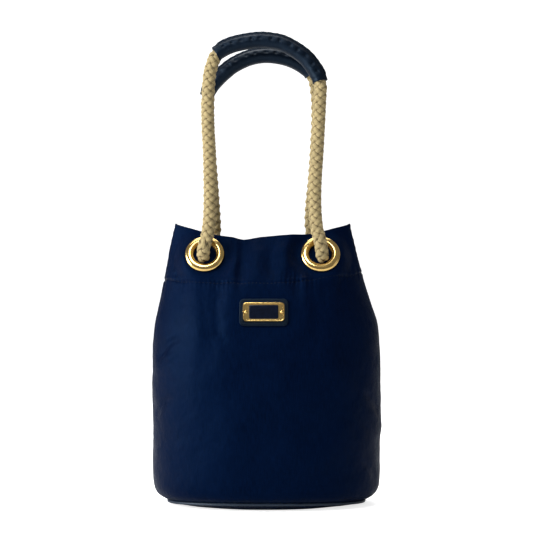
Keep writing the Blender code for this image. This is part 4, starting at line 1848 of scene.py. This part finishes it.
@dataclass
class Grip:
    """Leather sleeve wrapped round the ropes and sewn along its outer side."""

    radius: float = 6.45 * MM
    leather: float = 1.1 * MM
    flange: float = 1.9 * MM
    flange_angle: float = math.radians(10.0)
    seam_tilt: float = math.radians(12.0)
    split_depth: float = 0.8 * MM
    welt_angle: float = 0.40
    welt_height: float = 0.22 * MM
    groove_angle: float = 0.52
    groove_depth: float = 0.18 * MM
    dimple_angle: float = 1.12
    dimple_pitch: float = 8.6 * MM
    dimple_depth: float = 1.0 * MM
    bulge_angle: float = 1.55
    bulge_height: float = 0.20 * MM
    end_flange: float = 0.35
    end_length: float = 9.0 * MM
    start_slant: float = 0.30
    slant_length: float = 14.0 * MM
    around: int = 120
    spacing: float = 0.5 * MM

    def rings(self, line: np.ndarray, along: np.ndarray, outward: np.ndarray,
              forward: np.ndarray) -> np.ndarray:
        """Surface points of the sleeve.

        Args:
            line: Centre line of the grip.
            along: Distance of each point from its start.
            outward: Directions away from the loop's middle.
            forward: Direction out of the loop's plane.

        Returns:
            Points by ring and place round it.
        """
        angle = np.arange(self.around) * TAU / self.around
        turn = (angle - self.seam_tilt + math.pi) % TAU - math.pi
        ridge = np.exp(-((turn / self.flange_angle) ** 4))
        split = np.exp(-((turn / (0.16 * self.flange_angle)) ** 2))
        mouth = np.minimum(along, along[-1] - along)
        taper = self.end_flange + (1.0 - self.end_flange) * smoothstep(0.0, self.end_length, mouth)
        rim = self.flange * ridge - self.split_depth * split
        wobble = 0.55 * np.sin(TAU * along / (2.3 * self.dimple_pitch) + 0.8)
        beat = np.cos(TAU * along / self.dimple_pitch + wobble)[:, None]
        surface = self.radius + taper[:, None] * rim[None]
        for side, share in ((1.0, 1.0), (-1.0, 0.85)):
            dimple, welt, groove = (
                np.exp(-(((turn - side * place) / width) ** 2))[None]
                for place, width in ((self.dimple_angle, 0.26), (self.welt_angle, 0.045),
                                     (self.groove_angle, 0.07))
            )
            surface -= self.dimple_depth * share * (0.5 + 0.5 * beat) ** 2 * dimple
            surface += (self.welt_height + 0.03 * MM * beat) * welt
            surface -= self.groove_depth * groove
        for side in (1.0, -1.0):
            bulge = np.exp(-(((turn - side * self.bulge_angle) / 0.35) ** 2))[None]
            surface += self.bulge_height * (0.5 - 0.5 * beat) * bulge
        surface += 0.10 * MM * ridge[None] * np.cos(TAU * along / (5.6 * MM))[:, None]
        surface += 0.15 * MM * np.exp(-((mouth / (1.2 * MM)) ** 2))[:, None]
        surface -= 0.20 * MM * np.exp(-(((mouth - 3.4 * MM) / (1.3 * MM)) ** 2))[:, None]
        direction = (
            np.cos(angle)[None, :, None] * outward[:, None]
            + np.sin(angle)[None, :, None] * forward
        )
        slant = self.start_slant * (1.0 - smoothstep(0.0, self.slant_length, along))
        tangents = unit(np.gradient(line, axis=0))
        shift = slant[:, None] * surface * np.cos(angle)[None]
        return line[:, None] + surface[..., None] * direction + shift[..., None] * tangents[:, None]

    def build(self, shape: HandleShape, line: np.ndarray, wardrobe: Wardrobe) -> None:
        """Make a grip and its stitching.

        Args:
            shape: The handle that it belongs to.
            line: Dense centre line under the grip.
            wardrobe: The finishes.
        """
        points, along = spaced(line, self.spacing)
        forward = shape.plane_normal()
        tangents = unit(np.gradient(points, axis=0))
        outward = unit(np.cross(tangents, forward)) * (-shape.face.side)
        middle = points.mean(axis=0) - np.array([0.0, 0.0, 0.05])
        if np.sum(outward[len(outward) // 2] * (points[len(points) // 2] - middle)) < 0:
            outward = -outward
        rows = self.rings(points, along, outward, forward)
        rough = skin(f"{shape.face.value}_grip_leather", rows, wardrobe.leather, closed=True)
        work = bmesh.new()
        work.from_mesh(rough.data)
        bmesh.ops.recalc_face_normals(work, faces=work.faces)
        work.to_mesh(rough.data)
        work.free()
        centre = points[len(points) // 2]
        polygon = rough.data.polygons[len(rough.data.polygons) // 2]
        if polygon.normal.dot(polygon.center - Vector(centre)) < 0:
            rough.data.flip_normals()
        thicken(rough, self.leather)
        body = f"{shape.face.value}_handle"
        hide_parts(f"{shape.face.value}_grip")
        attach(rough, body)
        report(rough)
        for label, offset in (("outer", 1.0), ("inner", -1.0)):
            turn = self.seam_tilt + offset * self.flange_angle * 1.75
            direction = math.cos(turn) * outward + math.sin(turn) * forward
            reach = self.radius + 0.55 * MM
            seam = points + direction * reach
            sides = unit(-math.sin(turn) * outward + math.cos(turn) * forward) * offset
            facing = unit(sides + direction * 0.8)
            thread = Stitching(f"{shape.face.value}_grip_thread_{label}", 2.5 * MM, 4.2 * MM,
                               0.26 * MM).build(seam[8:-8], facing[8:-8], wardrobe.thread)
            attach(thread, body)
        LOG.info("%s grip is %.0f mm long", shape.face.value, along[-1] / MM)


@dataclass
class Handle:
    """One handle: two ropes that come out of the bag and meet inside a grip."""

    shape: HandleShape
    places: dict[End, GrommetPlace]
    rope: BraidedRope
    grip: Grip
    drift: float = 1.5 * MM
    rest: float = 1.9 * MM
    crossing: float = 213.5 * MM
    tuck: float = 7.0 * MM

    def inside_route(self, end: End, other: GrommetPlace) -> np.ndarray:
        """Route from the middle of the bag out through the grommet to the hinge line.

        Args:
            end: Which end of the handle.
            other: The grommet on the other face, which the rope runs to.

        Returns:
            Route points, from inside to the hinge line.
        """
        place = self.places[end]
        centre, normal = np.array(place.centre), np.array(place.normal)
        push = np.array([end.sign * self.drift, 0.0, 0.0])
        down = np.cross(normal, [1.0, 0.0, 0.0])
        down = down * (-math.copysign(self.rest, down[2]))
        middle = (centre + np.array(other.centre)) / 2
        middle[1] = 0.0
        middle[2] = self.crossing
        quarter = (centre - normal * 0.016 + middle) / 2
        quarter[2] = min(quarter[2], self.crossing + 2.5 * MM)
        return np.array([
            middle, quarter, centre - normal * 6.5 * MM + push * 0.5 + down * 0.6,
            centre + normal * 1.8 * MM + push + down,
        ])

    def build(self, others: dict[End, GrommetPlace], wardrobe: Wardrobe) -> None:
        """Make the ropes and the grip.

        Args:
            others: The grommets on the other face.
            wardrobe: The finishes.
        """
        steps = 12
        left, right = (self.places[end].centre.x + end.sign * self.drift for end in End)
        dense = self.shape.centre_line(left, right, steps)
        start, stop = (index * steps for index in self.shape.grip)
        face = self.shape.face.value
        free = {End.LEFT: dense[: start + 1], End.RIGHT: dense[stop:][::-1]}
        held = {End.LEFT: dense[start + 1:], End.RIGHT: dense[:stop][::-1]}
        for end in End:
            inner = self.inside_route(end, others[end])
            lengths = np.cumsum(np.linalg.norm(np.diff(held[end], axis=0), axis=1))
            tail = held[end][: int(np.searchsorted(lengths, self.tuck)) + 1]
            knots = np.vstack([inner, free[end][4::6], tail[-1:]])
            line = smooth_line(knots, 14)
            total = float(np.sum(np.linalg.norm(np.diff(line, axis=0), axis=1)))
            scale = [
                (0.0, 1.0), (total - self.tuck - 5.0 * MM, 1.0),
                (total - self.tuck + 1.0 * MM, 0.90), (total, 0.86),
            ]
            name = f"{face}_rope_{end.value}"
            rope = self.rope.build(f"{name}_braid", line, scale, wardrobe.rope)
            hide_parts(name, f"rope_link_{end.value}")
            along = Vector(self.shape.world(0.0, 14.0 * MM) - self.shape.world(0.0, 0.0))
            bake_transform(rope)
            report(rope)
            LOG.info("%s: %.0f mm of rope from the middle of the bag", name, total / MM)
        self.grip.build(self.shape, dense[start:stop + 1], wardrobe)


# --------------------------------------------------------------------------------------------
# Badge
# --------------------------------------------------------------------------------------------


@dataclass
class Badge:
    """Plain badge: leather backing, gold-rimmed plate with an enamel field, two rivets."""

    seat_gap: float = 0.3 * MM
    backing: tuple[float, float, float] = (42.5 * MM, 24.5 * MM, 1.6 * MM)
    plate: tuple[float, float, float] = (36.2 * MM, 17.0 * MM, 1.5 * MM)
    enamel: tuple[float, float] = (25.6 * MM, 12.4 * MM)
    rivet_offset: float = 15.6 * MM

    def __post_init__(self) -> None:
        """Read the badge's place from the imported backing."""
        self.normal = face_normal("badge_backing")
        middle = box_centre("badge_backing")
        low, _ = along_normal("badge_backing", self.normal)
        self.centre = middle + self.normal * (low - self.seat_gap - middle.dot(self.normal))

    def seat(self) -> Seat:
        """The flat of the cloth behind the badge."""
        return Seat(self.centre, self.normal, 22.0 * MM, 44.0 * MM)

    def outline(self, width: float, height: float, corner: float, steps: int = 8) -> np.ndarray:
        """Rectangle with round corners, anticlockwise.

        Args:
            width: Full width.
            height: Full height.
            corner: Radius of the corners.
            steps: Points on each corner's arc.

        Returns:
            One row a point.
        """
        points = []
        for sx, sy, start in ((1, 1, 0.0), (-1, 1, 0.5), (-1, -1, 1.0), (1, -1, 1.5)):
            for angle in np.linspace(start, start + 0.5, steps + 1) * math.pi:
                points.append((
                    sx * (width / 2 - corner) + corner * math.cos(angle),
                    sy * (height / 2 - corner) + corner * math.sin(angle),
                ))
        return np.array(points)

    def slab(self, name: str, size: tuple[float, float], corner: float,
             section: list[tuple[float, float]], material: bpy.types.Material) -> bpy.types.Object:
        """Round-cornered slab that follows a section of inset and height up to its middle.

        Args:
            name: Name of the piece.
            size: Width and height.
            corner: Radius of its corners.
            section: Inset from the outline and height above the cloth, from the back's edge.
            material: Its finish.

        Returns:
            The slab, in place.
        """
        rows = []
        for inset, height in section:
            ring = self.outline(size[0] - 2 * inset, size[1] - 2 * inset,
                                max(corner - inset, 0.2 * MM))
            rows.append(np.column_stack([ring, np.full(len(ring), height)]))
        piece = skin(name, np.array(rows), material, closed=True, caps=True)
        weld(piece)
        piece.data.set_sharp_from_angle(angle=math.radians(40.0))
        piece.matrix_world = basis(self.centre, self.normal)
        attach(piece, "root")
        report(piece)
        return piece

    def build(self, wardrobe: Wardrobe) -> None:
        """Make every piece of the badge.

        Args:
            wardrobe: The finishes.
        """
        low = self.seat_gap
        top = low + self.backing[2]
        backing = self.slab(
            "badge_leather", self.backing[:2], 4.5 * MM,
            [(0.35 * MM, low), (0.0, low + 0.4 * MM), (0.0, top - 0.5 * MM),
             (0.18 * MM, top - 0.15 * MM), (0.55 * MM, top), (1.5 * MM, top),
             (1.75 * MM, top - 0.22 * MM), (2.0 * MM, top), (2.6 * MM, top)],
            wardrobe.leather,
        )
        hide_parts("badge_backing")
        base = top + 0.05 * MM
        face = base + self.plate[2]
        plate = self.slab(
            "badge_gold_plate", self.plate[:2], 3.0 * MM,
            [(0.2 * MM, base), (0.0, base + 0.2 * MM), (0.0, face - 0.45 * MM),
             (0.14 * MM, face - 0.12 * MM), (0.45 * MM, face), (0.95 * MM, face),
             (1.25 * MM, face - 0.12 * MM), (1.35 * MM, face - 0.45 * MM)],
            wardrobe.gold,
        )
        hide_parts("badge_plate")
        field_low = face - 0.50 * MM
        enamel = self.slab(
            "badge_enamel_field", self.enamel, 1.6 * MM,
            [(0.0, field_low), (0.0, field_low + 0.28 * MM), (0.25 * MM, field_low + 0.42 * MM),
             (1.0 * MM, field_low + 0.46 * MM)],
            wardrobe.enamel,
        )
        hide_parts("badge_enamel")
        rise = np.linspace(0.0, 0.5 * math.pi, 7)
        cap = np.stack([1.35 * MM * np.cos(rise), 0.85 * MM * np.sin(rise)], axis=1)
        profile = np.vstack([[(0.0, -0.3 * MM), (1.35 * MM, -0.3 * MM)], cap])
        for end in End:
            rivet = turned(f"badge_rivet_{end.value}_head", profile, 28, wardrobe.gold)
            spot = Matrix.Translation((end.sign * self.rivet_offset, 0.0, field_low + 0.05 * MM))
            rivet.matrix_world = basis(self.centre, self.normal) @ spot
            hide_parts(f"badge_rivet_{end.value}")
            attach(rivet, "root")
            report(rivet)
        self.edge_stitching(wardrobe, top)

    def edge_stitching(self, wardrobe: Wardrobe, top: float) -> bpy.types.Object:
        """Stitches round the leather backing, in its edge groove.

        Args:
            wardrobe: The finishes.
            top: Height of the leather's face above the cloth.

        Returns:
            The stitches.
        """
        ring = self.outline(self.backing[0] - 3.5 * MM, self.backing[1] - 3.5 * MM, 2.75 * MM)
        local = np.column_stack([ring, np.full(len(ring), top - 0.1 * MM)])
        closed = np.vstack([local, local[:1]])
        place = basis(self.centre, self.normal)
        line = np.array([place @ Vector(point) for point in closed])
        normals = np.repeat(np.array([self.normal]), len(line), axis=0)
        thread = Stitching("badge_thread", 1.5 * MM, 2.2 * MM, 0.16 * MM).build(
            line, normals, wardrobe.thread
        )
        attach(thread, "root")
        return thread


# --------------------------------------------------------------------------------------------
# Studio
# --------------------------------------------------------------------------------------------


@dataclass(frozen=True)
class Light:
    """Square soft light aimed at the bag: where it stands, its side and its power in watts."""

    name: str
    place: tuple[float, float, float]
    size: float
    power: float

    def add(self, target: Vector) -> None:
        """Put the light in the scene.

        Args:
            target: What it is aimed at.
        """
        light = bpy.data.lights.new(self.name, "AREA")
        light.shape = "SQUARE"
        light.size = self.size
        light.energy = self.power
        lamp = bpy.data.objects.new(self.name, light)
        bpy.context.scene.collection.objects.link(lamp)
        lamp.location = self.place
        lamp.rotation_euler = (target - lamp.location).to_track_quat("-Z", "Y").to_euler()


LIGHTS = (
    Light("key_light", (-1.75, -0.75, 0.62), 1.15, 52.0),
    Light("front_light", (-0.35, -1.25, 1.75), 0.6, 11.0),
    Light("fill_light", (1.7, -1.0, 0.5), 0.8, 1.2),
    Light("top_light", (-0.2, 0.1, 2.0), 1.2, 13.0),
    Light("back_wash", (0.0, 1.3, 1.8), 1.6, 24.0),
)


@dataclass
class Studio:
    """Pale sweep, soft lights and the camera."""

    distance: float = 1.4
    height: float = 0.213
    lens: float = 105.0
    sweep: float = 6.0
    ambient: float = 0.22

    def build_floor(self, wardrobe: Wardrobe) -> None:
        """Floor that curves up into a wall behind the bag.

        Args:
            wardrobe: The finishes.
        """
        turn = np.linspace(0.0, 0.5 * math.pi, 17)
        radius = 1.2
        path = [(-self.sweep, 0.0), (3.0, 0.0)]
        path += [(3.0 + radius * math.sin(a), radius * (1 - math.cos(a))) for a in turn[1:]]
        path.append((3.0 + radius, self.sweep))
        across = np.array([-self.sweep, self.sweep])
        rows = np.array([[(x, y, z) for x in across] for y, z in path])
        floor = skin("studio_sweep", rows, wardrobe.floor)

    def build(self, wardrobe: Wardrobe) -> None:
        """Make the whole studio.

        Args:
            wardrobe: The finishes.
        """
        self.build_floor(wardrobe)
        world = bpy.data.worlds.new("studio_air")
        world.use_nodes = True
        nodes = Nodes(world.node_tree)
        seen = nodes.add("ShaderNodeLightPath").outputs["Is Camera Ray"]
        background = world.node_tree.nodes["Background"]
        background.inputs["Color"].default_value = (1.0, 1.0, 1.0, 1.0)
        nodes.put(background.inputs["Strength"], nodes.remap(seen, 0.0, 1.0, self.ambient, 1.0))
        bpy.context.scene.world = world
        bpy.context.scene.view_settings.view_transform = "Standard"
        for light in LIGHTS:
            light.add(Vector((0.0, 0.0, 0.2)))
        data = bpy.data.cameras.new("camera")
        data.lens = self.lens
        data.sensor_width = 36.0
        data.clip_start = 0.05
        camera = bpy.data.objects.new("camera", data)
        bpy.context.scene.collection.objects.link(camera)
        camera.location = (0.0, -self.distance, self.height)
        camera.rotation_euler = (math.radians(90.0), 0.0, 0.0)
        bpy.context.scene.camera = camera


def dress_kept_nodes(wardrobe: Wardrobe) -> None:
    """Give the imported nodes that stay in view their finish.

    Args:
        wardrobe: The finishes.
    """
    kept = {"base_insert": wardrobe.board}
    for face in Face:
        for end in End:
            kept[f"{face.value}_washer_{end.value}"] = wardrobe.gold
    for node, material in kept.items():
        mesh = frame["nodes"][node].data
        mesh.materials.clear()
        mesh.materials.append(material)
        LOG.info("%s: kept as packed", node)


def sew_hem(shape: BagShape, face: Face, wardrobe: Wardrobe) -> bpy.types.Object:
    """Stitch line that holds the turned-in hem.

    Args:
        shape: The body.
        face: Which face it runs over.
        wardrobe: The finishes.

    Returns:
        The stitches.
    """
    start = 0.0 if face is Face.FRONT else math.pi
    theta = start + np.linspace(0.03, math.pi - 0.03, 500)
    t = shape.hem_line(theta)
    line = shape.cloth(theta, t, 0.0)
    thread = Stitching(f"{face.value}_hem_thread").build(
        line, shape.normal(theta, t), wardrobe.thread
    )
    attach(thread, "root")
    return thread


def main() -> None:
    """Build and dress the whole bag, then the studio."""
    logging.basicConfig(level=logging.INFO, format="%(name)s: %(message)s")
    wardrobe = Wardrobe()
    Studio().build(wardrobe)

    places = {face: {end: GrommetPlace(face, end) for end in End} for face in Face}
    badge = Badge()
    seats = [place.seat() for ends in places.values() for place in ends.values()]
    shape = BagShape([*seats, badge.seat()])
    for face in Face:
        NylonPanel(shape, face).build(wardrobe)
        sew_hem(shape, face, wardrobe)
    Lining(shape).build(wardrobe)
    base = Base(shape)
    base.build_panel(wardrobe)
    base.build_piping(wardrobe)
    for ends in places.values():
        for place in ends.values():
            Grommet(place).build(wardrobe)
    badge.build(wardrobe)

    rope, grip = BraidedRope(), Grip()
    shapes = {
        Face.FRONT: HandleShape(Face.FRONT, FRONT_ROUTE, (8, 16)),
        Face.BACK: HandleShape(Face.BACK, BACK_ROUTE, (5, 14)),
    }
    for face, other in ((Face.FRONT, Face.BACK), (Face.BACK, Face.FRONT)):
        Handle(shapes[face], places[face], rope, grip).build(places[other], wardrobe)
    dress_kept_nodes(wardrobe)


if __name__ == "__main__":
    main()
